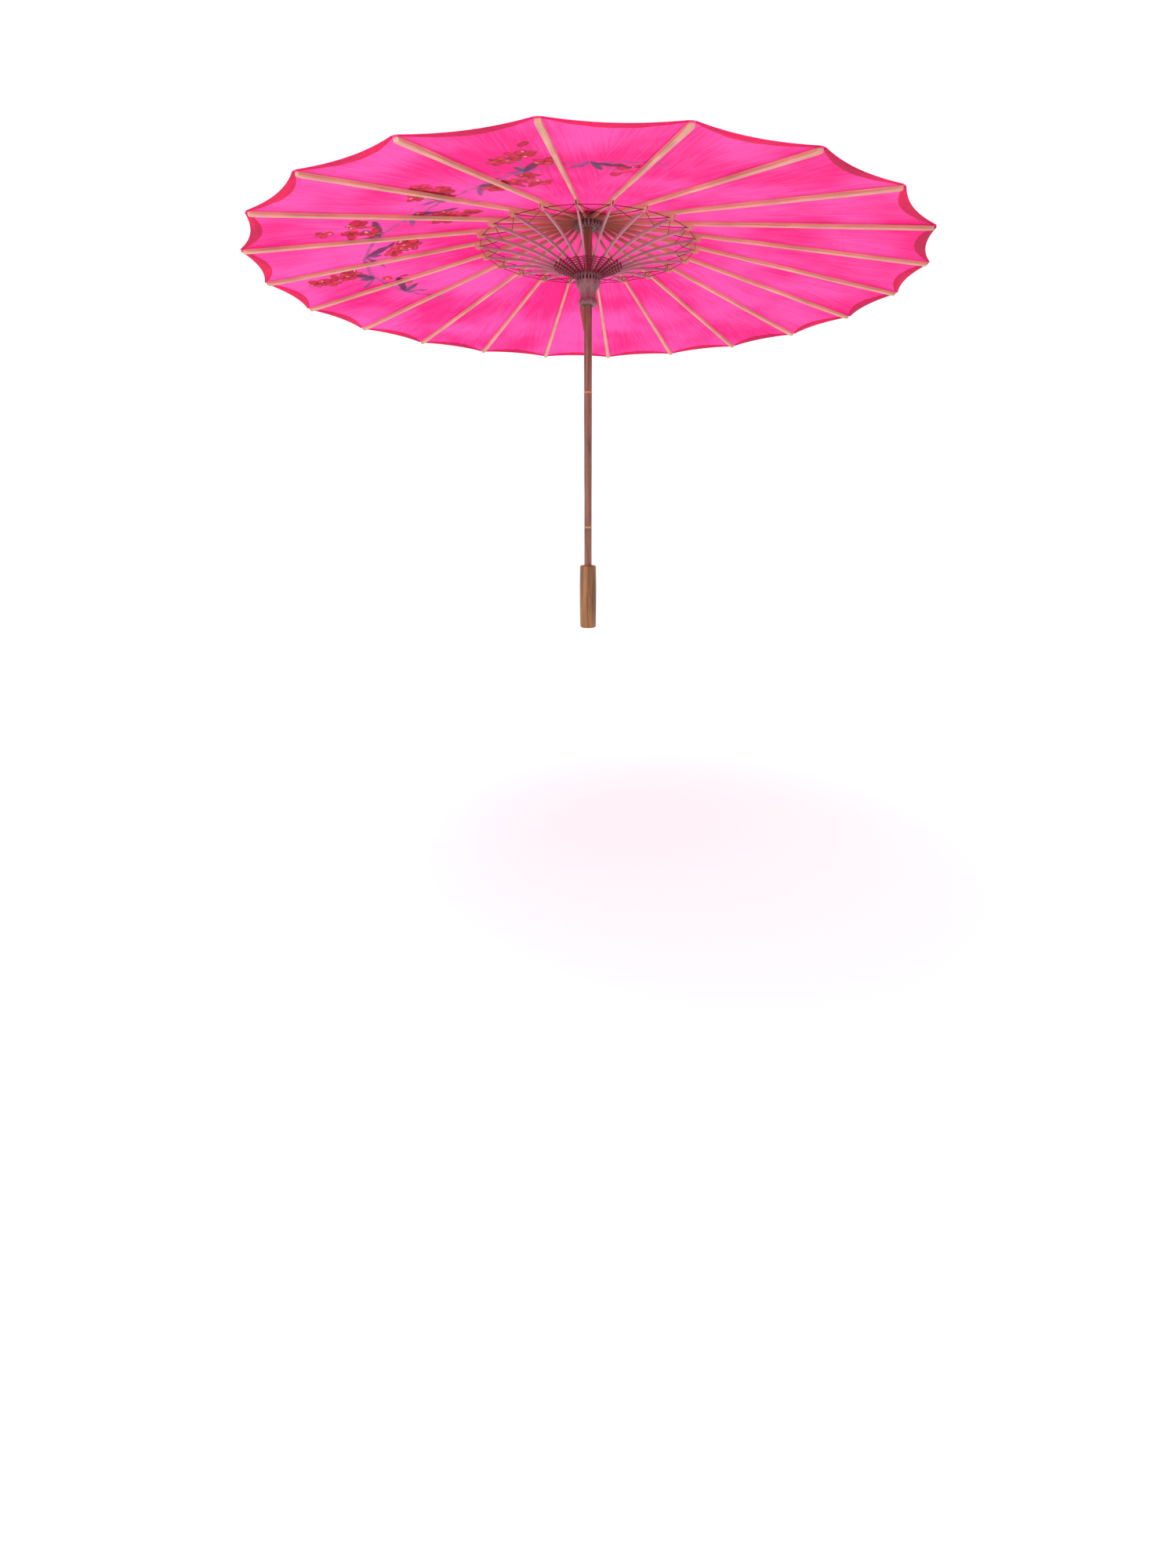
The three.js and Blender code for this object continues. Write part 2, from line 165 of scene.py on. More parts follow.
@dataclass
class Shape:
    """Collects grids of points into one mesh."""

    points: list = field(default_factory=list)
    faces: list = field(default_factory=list)
    uvs: list = field(default_factory=list)
    count: int = 0

    def add_grid(self, grid: np.ndarray, uv: np.ndarray, wrap: bool = False, caps: bool = False) -> "Shape":
        """Add a sheet of quads.

        Args:
            grid: points, rows by columns by 3. Faces look along row direction x column direction.
            uv: map coordinates, rows by columns by 2, with one more column when the grid wraps.
            wrap: join the last column to the first.
            caps: close the first and last rows with one face each.

        Returns:
            The shape itself.
        """
        rows, cols = grid.shape[:2]
        across = cols if wrap else cols - 1
        i, j = np.meshgrid(np.arange(rows - 1), np.arange(across), indexing="ij")
        i, j = i.ravel(), j.ravel()
        right = (j + 1) % cols
        quads = np.stack([i * cols + j, (i + 1) * cols + j, (i + 1) * cols + right, i * cols + right], 1)
        wide = uv.shape[1]
        corners = np.stack([i * wide + j, (i + 1) * wide + j, (i + 1) * wide + j + 1, i * wide + j + 1], 1)
        flat_uv = uv.reshape(-1, 2)
        self.faces.extend((quads + self.count).tolist())
        self.uvs.append(flat_uv[corners.ravel()])
        if caps:
            first = np.arange(cols)
            last = (rows - 1) * cols + np.arange(cols)[::-1]
            self.faces.append((first + self.count).tolist())
            self.faces.append((last + self.count).tolist())
            self.uvs.append(uv[0, :cols])
            self.uvs.append(uv[-1, :cols][::-1])
        self.points.append(grid.reshape(-1, 3))
        self.count += rows * cols
        return self

    def build(self, name: str, material: bpy.types.Material, crease: float = 40.0) -> bpy.types.Object:
        """Make the object.

        Args:
            name: the piece's name.
            material: its finish.
            crease: edges sharper than this many degrees stay sharp.

        Returns:
            The new object, at the origin, in metres.
        """
        mesh = bpy.data.meshes.new(name)
        mesh.from_pydata(np.concatenate(self.points) * MM, [], self.faces)
        layer = mesh.uv_layers.new(name="UVMap")
        layer.data.foreach_set("uv", (np.concatenate(self.uvs) * MM).astype(np.float32).ravel())
        mesh.polygons.foreach_set("use_smooth", np.ones(len(mesh.polygons), bool))
        mesh.set_sharp_from_angle(angle=math.radians(crease))
        mesh.materials.append(material)
        mesh.validate()
        mesh.update()
        made = bpy.data.objects.new(name, mesh)
        bpy.context.scene.collection.objects.link(made)
        return made


def turned(profile: np.ndarray, columns: int) -> tuple[np.ndarray, np.ndarray]:
    """Carry a profile round the Z axis.

    Args:
        profile: radius and height of each point, bottom to top on the outside.
        columns: how many steps go round.

    Returns:
        The grid of points, and its map coordinates in millimetres.
    """
    turn = np.linspace(0, 2 * np.pi, columns, endpoint=False)
    radius, height = profile[:, :1], profile[:, 1:]
    grid = np.stack([radius * np.cos(turn), radius * np.sin(turn), height + 0 * turn], 2)[:, ::-1]
    along = np.concatenate([[0], np.cumsum(np.hypot(*np.diff(profile, axis=0).T))])
    around = np.linspace(0, 2 * np.pi * profile[:, 0].max(), columns + 1)
    uv = np.stack(np.meshgrid(along, around, indexing="ij"), 2)
    return grid, uv


def rounded(points: list, radius: float, steps: int = 4) -> np.ndarray:
    """Round the inner corners of an open outline with short curves.

    Each corner is replaced by a quadratic curve that starts and ends `radius` from it.

    Args:
        points: the outline's corners.
        radius: distance from a corner at which its curve starts.
        steps: points on each curve.

    Returns:
        The rounded outline.
    """
    path = np.array(points, float)
    made = [path[:1]]
    share = np.linspace(0, 1, steps)[:, None]
    for before, corner, after in zip(path, path[1:], path[2:]):
        back, ahead = before - corner, after - corner
        start = corner + back * min(0.45, radius / np.linalg.norm(back))
        end = corner + ahead * min(0.45, radius / np.linalg.norm(ahead))
        made.append((1 - share) ** 2 * start + 2 * share * (1 - share) * corner + share**2 * end)
    made.append(path[-1:])
    return np.concatenate(made)


def tube(path: np.ndarray, radius: float, sides: int = 6) -> tuple[np.ndarray, np.ndarray]:
    """Carry a circle along an open path.

    Args:
        path: points of the centreline.
        radius: of the tube.
        sides: corners of its section.

    Returns:
        The grid of points, and its map coordinates.
    """
    ahead = np.gradient(path, axis=0)
    ahead /= np.linalg.norm(ahead, axis=1, keepdims=True)
    side = np.cross(ahead, [0.13, 0.21, 1.0])
    side /= np.linalg.norm(side, axis=1, keepdims=True)
    up = np.cross(side, ahead)
    turn = np.linspace(0, 2 * np.pi, sides, endpoint=False)[None, :, None]
    grid = path[:, None] + radius * (np.cos(turn) * side[:, None] + np.sin(turn) * up[:, None])
    along = np.concatenate([[0], np.cumsum(np.linalg.norm(np.diff(path, axis=0), axis=1))])
    uv = np.stack(np.meshgrid(along, np.linspace(0, 2 * np.pi * radius, sides + 1), indexing="ij"), 2)
    return grid, uv


def lath(
    stations: np.ndarray, step: float, sides: int = 16, squareness: float = 7.0
) -> tuple[np.ndarray, np.ndarray]:
    """A bar along X with a rounded rectangular section that changes along it.

    The section is a superellipse: |across / half width|^p + |up / half depth|^p = 1.

    Args:
        stations: along, low, high and width of each place where the section is known.
        step: distance between rows.
        sides: points round the section.
        squareness: the power p.

    Returns:
        The grid of points, and its map coordinates.
    """
    reach = stations[-1, 0] - stations[0, 0]
    even = np.linspace(stations[0, 0], stations[-1, 0], max(3, int(reach / step)))
    along = np.unique(np.concatenate([even, stations[:, 0]]))
    low, high, width = (np.interp(along, stations[:, 0], stations[:, i]) for i in (1, 2, 3))
    turn = (np.arange(sides) + 0.5) * 2 * np.pi / sides
    cos, sin = np.cos(turn), np.sin(turn)
    size = (np.abs(cos) ** squareness + np.abs(sin) ** squareness) ** (-1 / squareness)
    across = width[:, None] / 2 * (cos * size)
    up = (high + low)[:, None] / 2 + (high - low)[:, None] / 2 * (sin * size)
    grid = np.stack([along[:, None] + 0 * across, across, up], 2)[:, ::-1]
    around = np.linspace(0, 2 * (np.mean(width) + np.mean(high - low)), sides + 1)
    uv = np.stack(np.meshgrid(along, around, indexing="ij"), 2)
    return grid, uv


# ---- The frame's places ----------------------------------------------------------------------


@dataclass(frozen=True)
class Fan:
    """Where the spokes of the frame turn, in millimetres, read from the frame's joints."""

    ribs: int
    pivot_radius: float
    hub_height: float
    joint_radius: float
    joint_height: float
    runner_height: float
    fold: float
    slope: float = math.radians(10)

    @classmethod
    def from_frame(cls) -> "Fan":
        """Read the pivots of rib 01 and strut 01, and count the ribs."""
        joints = {joint["name"]: joint for joint in frame["joints"]}
        hub = joints["canopy_fold"]["pos_m"]
        joint = joints["strut_fold_01"]["pos_m"]
        runner = joints["runner_travel"]["pos_m"]
        return cls(
            ribs=sum(name.startswith("rib_") for name in frame["bodies"]),
            pivot_radius=math.hypot(hub[0], hub[1]) / MM,
            hub_height=hub[2] / MM,
            joint_radius=math.hypot(joint[0], joint[1]) / MM,
            joint_height=joint[2] / MM,
            runner_height=runner[2] / MM,
            fold=math.radians(joints["canopy_fold"]["range_deg"][1]),
        )

    @property
    def sector(self) -> float:
        """Angle between two ribs."""
        return 2 * math.pi / self.ribs

    @property
    def link_angle(self) -> float:
        """Angle of a strut above horizontal."""
        return math.atan2(self.joint_height - self.runner_height, self.joint_radius - self.pivot_radius)

    @property
    def link(self) -> float:
        """Length of a strut between its pivots."""
        return math.hypot(self.joint_height - self.runner_height, self.joint_radius - self.pivot_radius)

    def azimuth(self, index: int) -> float:
        """Direction of a spoke from the pole, counted from 0."""
        return -math.pi / 2 + index * self.sector

    def tangent(self, index: int) -> tuple[float, float, float]:
        """Direction across a spoke."""
        turn = self.azimuth(index)
        return (-math.sin(turn), math.cos(turn), 0.0)

    def place(self, index: int, grid: np.ndarray) -> np.ndarray:
        """Turn points from a spoke's plane to the part's frame.

        Args:
            index: the spoke, counted from 0.
            grid: points as out, across and up.

        Returns:
            The points as x, y and z.
        """
        turn = self.azimuth(index)
        out, across, up = grid[..., 0], grid[..., 1], grid[..., 2]
        x = out * math.cos(turn) - across * math.sin(turn)
        y = out * math.sin(turn) + across * math.cos(turn)
        return np.stack([x, y, up], -1)

    def rib_to_spoke(self, grid: np.ndarray) -> np.ndarray:
        """Turn points from a rib, from its pivot, to its spoke's plane.

        Args:
            grid: points as along, across and above.

        Returns:
            The points as out, across and up.
        """
        along, across, up = grid[..., 0], grid[..., 1], grid[..., 2]
        out = self.pivot_radius + along * math.cos(self.slope) + up * math.sin(self.slope)
        height = self.hub_height - along * math.sin(self.slope) + up * math.cos(self.slope)
        return np.stack([out, across, height], -1)

    def strut_to_spoke(self, grid: np.ndarray) -> np.ndarray:
        """Turn points from a strut, from its joint, to its spoke's plane.

        Args:
            grid: points as along, across and above.

        Returns:
            The points as out, across and up.
        """
        along, across, up = grid[..., 0], grid[..., 1], grid[..., 2]
        angle = self.link_angle
        out = self.joint_radius - along * math.cos(angle) - up * math.sin(angle)
        height = self.joint_height - along * math.sin(angle) + up * math.cos(angle)
        return np.stack([out, -across, height], -1)


FAN = Fan.from_frame()
RIBS = [f"rib_{i + 1:02d}" for i in range(FAN.ribs)]
STRUTS = [f"strut_{i + 1:02d}" for i in range(FAN.ribs)]


# ---- Finishes --------------------------------------------------------------------------------


@dataclass(frozen=True)
class Cloth:
    """Thin plain-weave polyester, dyed and calendered: a soft gloss, and light shines through it."""

    name: str
    face: str
    shade: str
    glow: str
    through: float = 0.5
    painted: bool = False
    thread_mm: float = 0.9

    def build(self) -> bpy.types.Material:
        """Make the material. The weave is drawn about three times as coarse as the real threads."""
        material, tree, coords = start_material(self.name)
        uv = coords.outputs["UV"]
        pitch = 2 * math.pi / (self.thread_mm * MM)
        warp = add_node(tree, "Mapping", {"Scale": (pitch, pitch, 0), "Vector": uv})
        split = add_node(tree, "SeparateXYZ", {0: warp})
        over, under = (add_node(tree, "Math", {"operation": "SINE", 0: split.outputs[i]}) for i in (0, 1))
        weave = add_node(tree, "Math", {"operation": "MULTIPLY", 0: over, 1: under})
        slub = add_node(tree, "Mapping", {"Scale": (14, 420, 1), "Vector": uv})
        streaks = add_node(tree, "TexNoise", {"Scale": 1.0, "Detail": 3.0, "Roughness": 0.6, "Vector": slub})
        cloud = add_node(tree, "TexNoise", {"Scale": 9.0, "Detail": 2.0, "Vector": coords.outputs["Object"]})
        uneven = add_node(tree, "Math", {"operation": "MULTIPLY_ADD", 0: streaks, 1: 0.5, 2: cloud})
        # painted shade and highlight: the streaks, which also raise the ripple bump, and the broad clouds
        # darken and lighten the cloth's colours the way wrinkle shading and sheen would, as well as varying
        # the dye
        dye_and_painted_wrinkle_shade = add_node(tree, "MapRange", {"From Min": 0.62, "From Max": 0.9, "Value": uneven})
        outside, inside = (
            add_node(tree, "Mix", {**COLOURS, FACTOR: dye_and_painted_wrinkle_shade, FIRST: linear(colour), SECOND: linear(self.shade)})
            for colour in (self.face, self.glow)
        )
        through = self.through
        if self.painted:
            paint = add_node(tree, "Attribute", {"attribute_name": "Paint"})
            cover = {FACTOR: paint.outputs["Alpha"], SECOND: paint.outputs["Color"]}
            outside, inside = (
                add_node(tree, "Mix", {**COLOURS, **cover, FIRST: cloth}) for cloth in (outside, inside)
            )
            blocked = {"To Min": self.through, "To Max": 0.3 * self.through}
            through = add_node(tree, "MapRange", {**blocked, "Value": paint.outputs["Alpha"]})
        bump = add_node(tree, "Bump", {"Strength": 0.12, "Distance": 0.0002, "Height": weave})
        relief = {"Strength": 0.25, "Distance": 0.0015}
        ripple = add_node(tree, "Bump", {**relief, "Height": streaks, "Normal": bump})
        gloss = {"Roughness": 0.6, "Specular IOR Level": 0.16}
        skin = add_node(tree, "BsdfPrincipled", {**gloss, "Base Color": outside, "Normal": ripple})
        glow = add_node(tree, "BsdfTranslucent", {"Color": inside, "Normal": ripple})
        both = add_node(tree, "MixShader", {0: through, 1: skin, 2: glow})
        add_node(tree, "OutputMaterial", {"Surface": both})
        return material


@dataclass(frozen=True)
class SplitCane:
    """Split bamboo, scraped and left dull: straight fibres, and darker towards the pole."""

    name: str
    pale: str
    fibre: str
    dark: str
    dark_to_mm: float
    pale_from_mm: float
    roughness: float = 0.55

    def build(self) -> bpy.types.Material:
        """Make the material. Fibres run along the piece's own map, about half a millimetre apart."""
        material, tree, coords = start_material(self.name)
        place = coords.outputs["Object"]
        grain = add_node(tree, "Mapping", {"Scale": (18, 1600, 1), "Vector": coords.outputs["UV"]})
        fibres = add_node(tree, "TexNoise", {"Scale": 1.0, "Detail": 4.0, "Roughness": 0.65, "Vector": grain})
        patch = add_node(tree, "TexNoise", {"Scale": 22.0, "Detail": 2.0, "Vector": place})
        flat = add_node(tree, "VectorMath", {"operation": "MULTIPLY", 0: place, 1: (1, 1, 0)})
        reach = add_node(tree, "VectorMath", {"operation": "LENGTH", 0: flat}).outputs["Value"]
        fade = {"From Min": self.dark_to_mm * MM, "From Max": self.pale_from_mm * MM}
        outward = add_node(tree, "MapRange", {**fade, "interpolation_type": "SMOOTHSTEP", "Value": reach})
        mottled = add_node(tree, "Math", {"operation": "MULTIPLY_ADD", 0: patch, 1: 0.45, 2: fibres})
        streak = add_node(tree, "MapRange", {"From Min": 0.5, "From Max": 0.95, "Value": mottled})
        cane = {FIRST: linear(self.pale), SECOND: linear(self.fibre)}
        body = add_node(tree, "Mix", {**COLOURS, FACTOR: streak, **cane})
        colour = add_node(tree, "Mix", {**COLOURS, FACTOR: outward, FIRST: linear(self.dark), SECOND: body})
        bump = add_node(tree, "Bump", {"Strength": 0.3, "Distance": 0.0002, "Height": fibres})
        gloss = {"Roughness": self.roughness, "Specular IOR Level": 0.22}
        skin = add_node(tree, "BsdfPrincipled", {**gloss, "Base Color": colour, "Normal": bump})
        add_node(tree, "OutputMaterial", {"Surface": skin})
        return material


@dataclass(frozen=True)
class TurnedWood:
    """Turned timber with its grain along Z, sealed with a thin lacquer."""

    name: str
    light: str
    dark: str
    ring_mm: float
    roughness: float
    coat: float
    rings: tuple = ()
    ring_colour: str = "5a3a28"
    ring_half_mm: float = 1.5

    def build(self) -> bpy.types.Material:
        """Make the material: long bands of grain, fine pores, and a ring at each joint of a cane."""
        material, tree, coords = start_material(self.name)
        place = coords.outputs["Object"]
        stretch = add_node(tree, "Mapping", {"Scale": (1, 1, 0.07), "Vector": place})
        growth = {"Scale": 1000 / self.ring_mm, "Detail": 3.0, "Roughness": 0.55, "Distortion": 0.6}
        bands = add_node(tree, "TexNoise", {**growth, "Vector": stretch})
        fine = {"Scale": 1400.0, "Detail": 2.0, "Roughness": 0.6}
        pores = add_node(tree, "TexNoise", {**fine, "Vector": stretch})
        mixed = add_node(tree, "Math", {"operation": "MULTIPLY_ADD", 0: pores, 1: 0.35, 2: bands})
        grain = add_node(tree, "MapRange", {"From Min": 0.5, "From Max": 0.86, "Value": mixed})
        timber = {FIRST: linear(self.light), SECOND: linear(self.dark)}
        colour = add_node(tree, "Mix", {**COLOURS, FACTOR: grain, **timber})
        height = add_node(tree, "SeparateXYZ", {0: place}).outputs[2]
        for ring in self.rings:
            near = add_node(tree, "Math", {"operation": "SUBTRACT", 0: height, 1: ring * MM})
            off = add_node(tree, "Math", {"operation": "ABSOLUTE", 0: near})
            edge = {"From Min": self.ring_half_mm * MM, "From Max": 0.3 * self.ring_half_mm * MM}
            mask = add_node(tree, "MapRange", {**edge, "Value": off})
            ringed = {FIRST: colour, SECOND: linear(self.ring_colour)}
            colour = add_node(tree, "Mix", {**COLOURS, FACTOR: mask, **ringed})
        bump = add_node(tree, "Bump", {"Strength": 0.2, "Distance": 0.0002, "Height": mixed})
        gloss = {"Roughness": self.roughness, "Specular IOR Level": 0.35}
        lacquer = {"Coat Weight": self.coat, "Coat Roughness": 0.25}
        skin = add_node(tree, "BsdfPrincipled", {**gloss, **lacquer, "Base Color": colour, "Normal": bump})
        add_node(tree, "OutputMaterial", {"Surface": skin})
        return material


@dataclass(frozen=True)
class Plain:
    """A moulded, drawn or spun material with a fine surface: plastic, wire or cotton thread."""

    name: str
    colour: str
    shade: str
    roughness: float
    metallic: float = 0.0
    speckle_mm: float = 1.5
    bump: float = 0.1

    def build(self) -> bpy.types.Material:
        """Make the material, with a fine mottle in colour, gloss and height."""
        material, tree, coords = start_material(self.name)
        grit = {"Scale": 1000 / self.speckle_mm, "Detail": 3.0}
        speckle = add_node(tree, "TexNoise", {**grit, "Vector": coords.outputs["Object"]})
        dyed = {FIRST: linear(self.colour), SECOND: linear(self.shade)}
        colour = add_node(tree, "Mix", {**COLOURS, FACTOR: speckle, **dyed})
        worn = {"To Min": self.roughness * 0.85, "To Max": min(1.0, self.roughness * 1.15)}
        gloss = add_node(tree, "MapRange", {**worn, "Value": speckle})
        bump = add_node(tree, "Bump", {"Strength": self.bump, "Distance": 0.0002, "Height": speckle})
        look = {"Base Color": colour, "Roughness": gloss, "Normal": bump}
        skin = add_node(tree, "BsdfPrincipled", {"Metallic": self.metallic, **look})
        add_node(tree, "OutputMaterial", {"Surface": skin})
        return material


NODE_HEIGHTS = (142.0, 312.0)
FINISHES = {
    # dyed, calendered cloth under an even tension: it glows where light comes through it
    "canopy": Cloth("calendered_polyester_hot_pink", "fc3a94", "e81f7a", "ff54ac", 0.55, True),
    # the same cloth, cut with a zigzag edge and gathered: less light comes through
    "frill": Cloth("calendered_polyester_frill", "fb3288", "e62274", "f83c8c", 0.35),
    # a darker strip, gathered in several layers, so almost no light comes through
    "band": Cloth("gathered_polyester_crimson", "e80f44", "cc0a3c", "f01c50", 0.15),
    # the canopy's cloth folded double at the edge: a deeper pink line
    "hem": Cloth("folded_polyester_hem", "f01068", "d40c58", "f8147a", 0.35),
    # split and scraped bamboo: pale and dull, with fine straight fibres, darker near the hub
    "rib": SplitCane("split_bamboo_rib", "e8b69c", "b27a66", "a05c4e", 20, 120),
    # thinner splits of the same cane; their colours hold a painted pink cast, the light that comes through
    # the cloth
    "strut": SplitCane("split_bamboo_strut", "c08d96", "93616c", "7a4850", 14, 70),
    # whole cane, smoked and lightly lacquered: brown with a soft shine and pale rings at its joints
    "pole": TurnedWood("smoked_bamboo_cane", "96614a", "5e3a30", 5.0, 0.42, 0.2, NODE_HEIGHTS, "bd8a64", 1.6),
    # turned hardwood under a thin lacquer: warm bands of grain and a soft highlight
    "handle": TurnedWood("lacquered_turned_hardwood", "9c6a38", "5c3618", 7.0, 0.4, 0.3),
    # turned hardwood without lacquer: dull and greyed
    "runner": TurnedWood("turned_hardwood_greyed", "94686c", "6a464a", 4.0, 0.6, 0.0),
    # moulded plastic: an even bright red with a smooth, sharper highlight
    "cap": Plain("moulded_polypropylene_red", "f51400", "e01000", 0.35, 0.0, 3.0, 0.05),
    # drawn steel: a thin grey gleam round the blocks
    "wire": Plain("drawn_steel_wire", "9a9a9e", "77777c", 0.35, 1.0, 0.6),
    # spun cotton: dark crimson, matt and slightly hairy
    "thread": Plain("spun_cotton_crimson", "8a0c30", "5a0820", 0.85, 0.0, 0.5, 0.6),
}
MATERIALS = {key: finish.build() for key, finish in FINISHES.items()}
GRAIN_SHIFT = 900  # millimetres within which the grain starts anywhere on each lath


# ---- Sub-assemblies --------------------------------------------------------------------------


@dataclass
class Ribs:
    """The split bamboo ribs: slender laths with a forked lug for the strut."""

    step: float = 4.0
    top: float = -1.0
    depth: float = 4.0
    cheek: float = 0.62
    tip: float = 397.0

    def body(self) -> np.ndarray:
        """Stations of the lath, from the pivot's eye to the tip, above the fork."""
        top, foot, joint = self.top, self.top - self.depth, self.joint_along
        return np.array(
            [
                [-2.0, -0.7, 0.7, 1.3],
                [-1.5, -1.6, 1.6, 1.6],
                [0.0, -2.1, 2.1, 1.6],
                [6.0, -2.4, 2.0, 1.6],
                [12.0, -3.2, 0.9, 1.7],
                [26.0, -5.2, top, 1.9],
                [100.0, -5.6, top, 2.6],
                [joint - 12, -5.4, top, 2.7],
                [joint + 12, foot, top, 3.0],
                [250.0, foot, top, 4.1],
                [self.tip - 6, foot + 0.2, top, 5.7],
                [self.tip - 0.6, foot + 0.4, top - 0.1, 5.6],
                [self.tip, foot + 0.9, top - 0.6, 4.8],
            ]
        )

    @property
    def joint_along(self) -> float:
        """Distance along the rib from its pivot to the strut's joint."""
        return math.sqrt(FAN.link**2 - self.joint_drop**2)

    @property
    def joint_drop(self) -> float:
        """Distance of the strut's joint below the pivot, square to the rib."""
        return FAN.link * math.sin(FAN.link_angle - FAN.slope)

    def cheek_grid(self, side: float) -> tuple[np.ndarray, np.ndarray]:
        """One cheek of the fork: a thin plate with a rounded lower edge.

        Args:
            side: +1 or -1, the side of the rib it is on.

        Returns:
            The grid of points, and its map coordinates.
        """
        along, drop = self.joint_along, self.joint_drop
        share = np.linspace(-1, 1, 15)
        low = -drop - 1.9 * np.sqrt(np.clip(1 - share**6, 0, 1)) + 2.6 * np.abs(share) ** 6
        stations = np.stack(
            [along + 6.0 * share, low, np.full(15, self.top - 1.5), np.full(15, self.cheek)], 1
        )
        grid, uv = lath(stations, 3.0, 8, 9.0)
        grid[..., 1] += side * (1.38 - self.cheek / 2)
        return grid, uv

    def build(self) -> None:
        """Make every rib and let each stand for its CAD node."""
        for index, name in enumerate(RIBS):
            shape = Shape()
            rng = np.random.default_rng(100 + index)
            for grid, uv in (lath(self.body(), self.step), self.cheek_grid(-1), self.cheek_grid(1)):
                placed = FAN.place(index, FAN.rib_to_spoke(grid))
                shape.add_grid(placed, uv + rng.uniform(0, GRAIN_SHIFT, 2), True, True)
            piece = shape.build(f"rib_lath_{index + 1:02d}", MATERIALS["rib"])
            fit(piece, name, "rib_bamboo", name)
        LOG.info("ribs: %d laths", len(RIBS))


@dataclass
class Struts:
    """The thin bamboo struts between the ribs and the runner.

    The open frame's load bows them.
    """

    bow: float = 6.0
    keep: float = 0.4
    half: float = 1.6
    width: float = 2.4

    def centre(self, along: np.ndarray) -> np.ndarray:
        """Height of the strut's bowed middle line above its straight one."""
        return self.bow * np.sin(np.pi * along / FAN.link)

    def stations(self) -> np.ndarray:
        """Stations of a strut, from its tongue in the rib's fork to its eye in the runner."""
        link = FAN.link
        rows = np.array(
            [
                [-1.5, 0.5, 0.8],
                [-1.0, 1.1, 0.9],
                [0.0, 1.55, 0.9],
                [9.5, self.half, 0.9],
                [12.5, self.half, self.width],
                [45.0, self.half, self.width],
                [80.0, self.half, self.width],
                [115.0, self.half, 2.0],
                [119.0, 1.35, 1.5],
                [link, 1.9, 1.5],
                [link + 1.3, 1.3, 1.5],
                [link + 1.7, 0.7, 1.3],
            ]
        )
        middle = self.centre(np.clip(rows[:, 0], 0, link))
        return np.stack([rows[:, 0], middle - rows[:, 1], middle + rows[:, 1], rows[:, 2]], 1)

    def build(self) -> None:
        """Make every strut and let each stand for its CAD node."""
        stations = self.stations()
        for index, name in enumerate(STRUTS):
            rng = np.random.default_rng(300 + index)
            grid, uv = lath(stations, 3.0, 12, 6.0)
            along = grid[..., 0]
            middle = np.interp(along, stations[:, 0], (stations[:, 1] + stations[:, 2]) / 2)
            grid[..., 2] += self.centre(along) - middle
            placed = FAN.place(index, FAN.strut_to_spoke(grid))
            shape = Shape().add_grid(placed, uv + rng.uniform(0, GRAIN_SHIFT, 2), True, True)
            piece = shape.build(f"strut_lath_{index + 1:02d}", MATERIALS["strut"])
            fit(piece, name, "strut_bamboo", name)
            ends = FAN.place(index, FAN.strut_to_spoke(np.array([[0.0, 0, 0], [0.0, 0, 1.0]])))
            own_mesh(piece)
        LOG.info("struts: %d laths", len(STRUTS))


def dress(node: str, finish: str) -> None:
    """Give a CAD node that stays its finish."""
    materials = frame["nodes"][node].data.materials
    materials.clear()
    materials.append(MATERIALS[finish])


class Block(Enum):
    """The two slotted blocks that hold the wire rings."""

    HUB = "hub"
    RUNNER = "runner"


@dataclass
class SlottedBlock:
    """A turned wooden block with one radial slot for each spoke.

    The surface is a grid: its columns follow one of two profiles, the wall's or the slot's, and
    the sides of a slot are the faces between a wall column and a slot column at the same place.
    """

    block: Block
    body: str
    outer: np.ndarray
    slot_low: float
    slot_high: float
    slot_radius: float = 10.4
    slot_width: float = 2.1

    def grids(self) -> tuple[np.ndarray, np.ndarray]:
        """Work out the block's surface.

        Returns:
            The grid of points, and its map coordinates.
        """
        wall = self.outer
        open_here = (wall[:, 1] > self.slot_low) & (wall[:, 1] < self.slot_high)
        cut = wall.copy()
        cut[open_here, 0] = np.minimum(cut[open_here, 0], self.slot_radius)
        half = self.slot_width / 2
        share = np.array([-1.0, 0.0, 1.0])
        spans = []
        for profile, is_slot in ((cut, True), (wall, False)):
            edge = np.arcsin(half / np.maximum(profile[:, 0], self.slot_radius * 0.55))[:, None]
            if is_slot:
                turn = edge * share
            else:
                rest = FAN.sector - edge
                turn = edge + (rest - edge) * np.linspace(0, 1, 5)
            spans.append((profile, turn))
        columns = []
        for index in range(FAN.ribs):
            for profile, turn in spans:
                angle = FAN.azimuth(index) + turn
                out, up = profile[:, :1], profile[:, 1:] + 0 * angle
                columns.append(np.stack([out * np.cos(angle), out * np.sin(angle), up], 2))
        grid = np.concatenate(columns, 1)[:, ::-1]
        along = np.concatenate([[0], np.cumsum(np.hypot(*np.diff(wall, axis=0).T))])
        around = np.linspace(0, 2 * np.pi * wall[:, 0].max(), grid.shape[1] + 1)
        return grid, np.stack(np.meshgrid(along, around, indexing="ij"), 2)

    def build(self) -> None:
        """Make the block and its wire ring."""
        grid, uv = self.grids()
        piece = Shape().add_grid(grid, uv, True).build(f"{self.block.value}_block", MATERIALS["runner"], 35)
        fit(piece, self.body, "runner_wood", self.block.value)
        dress(f"{self.block.value}_wire", "wire")
        LOG.info("%s: slotted block and wire ring", self.block.value)


BORE = 6.2  # radius of the hole for the pole, in millimetres
PROFILE_STEP = 1.1  # longest edge of a block's profile, in millimetres


def hub_outline() -> np.ndarray:
    """Outline of the hub, up the outside from its bore and back, in millimetres."""
    low, high = heights("hub")
    corners = [(BORE, low), (16.9, low), (17.5, low + 1), (17.5, high - 2.8), (14.5, high), (BORE, high)]
    return spread(rounded(corners, 0.5, 3), PROFILE_STEP)


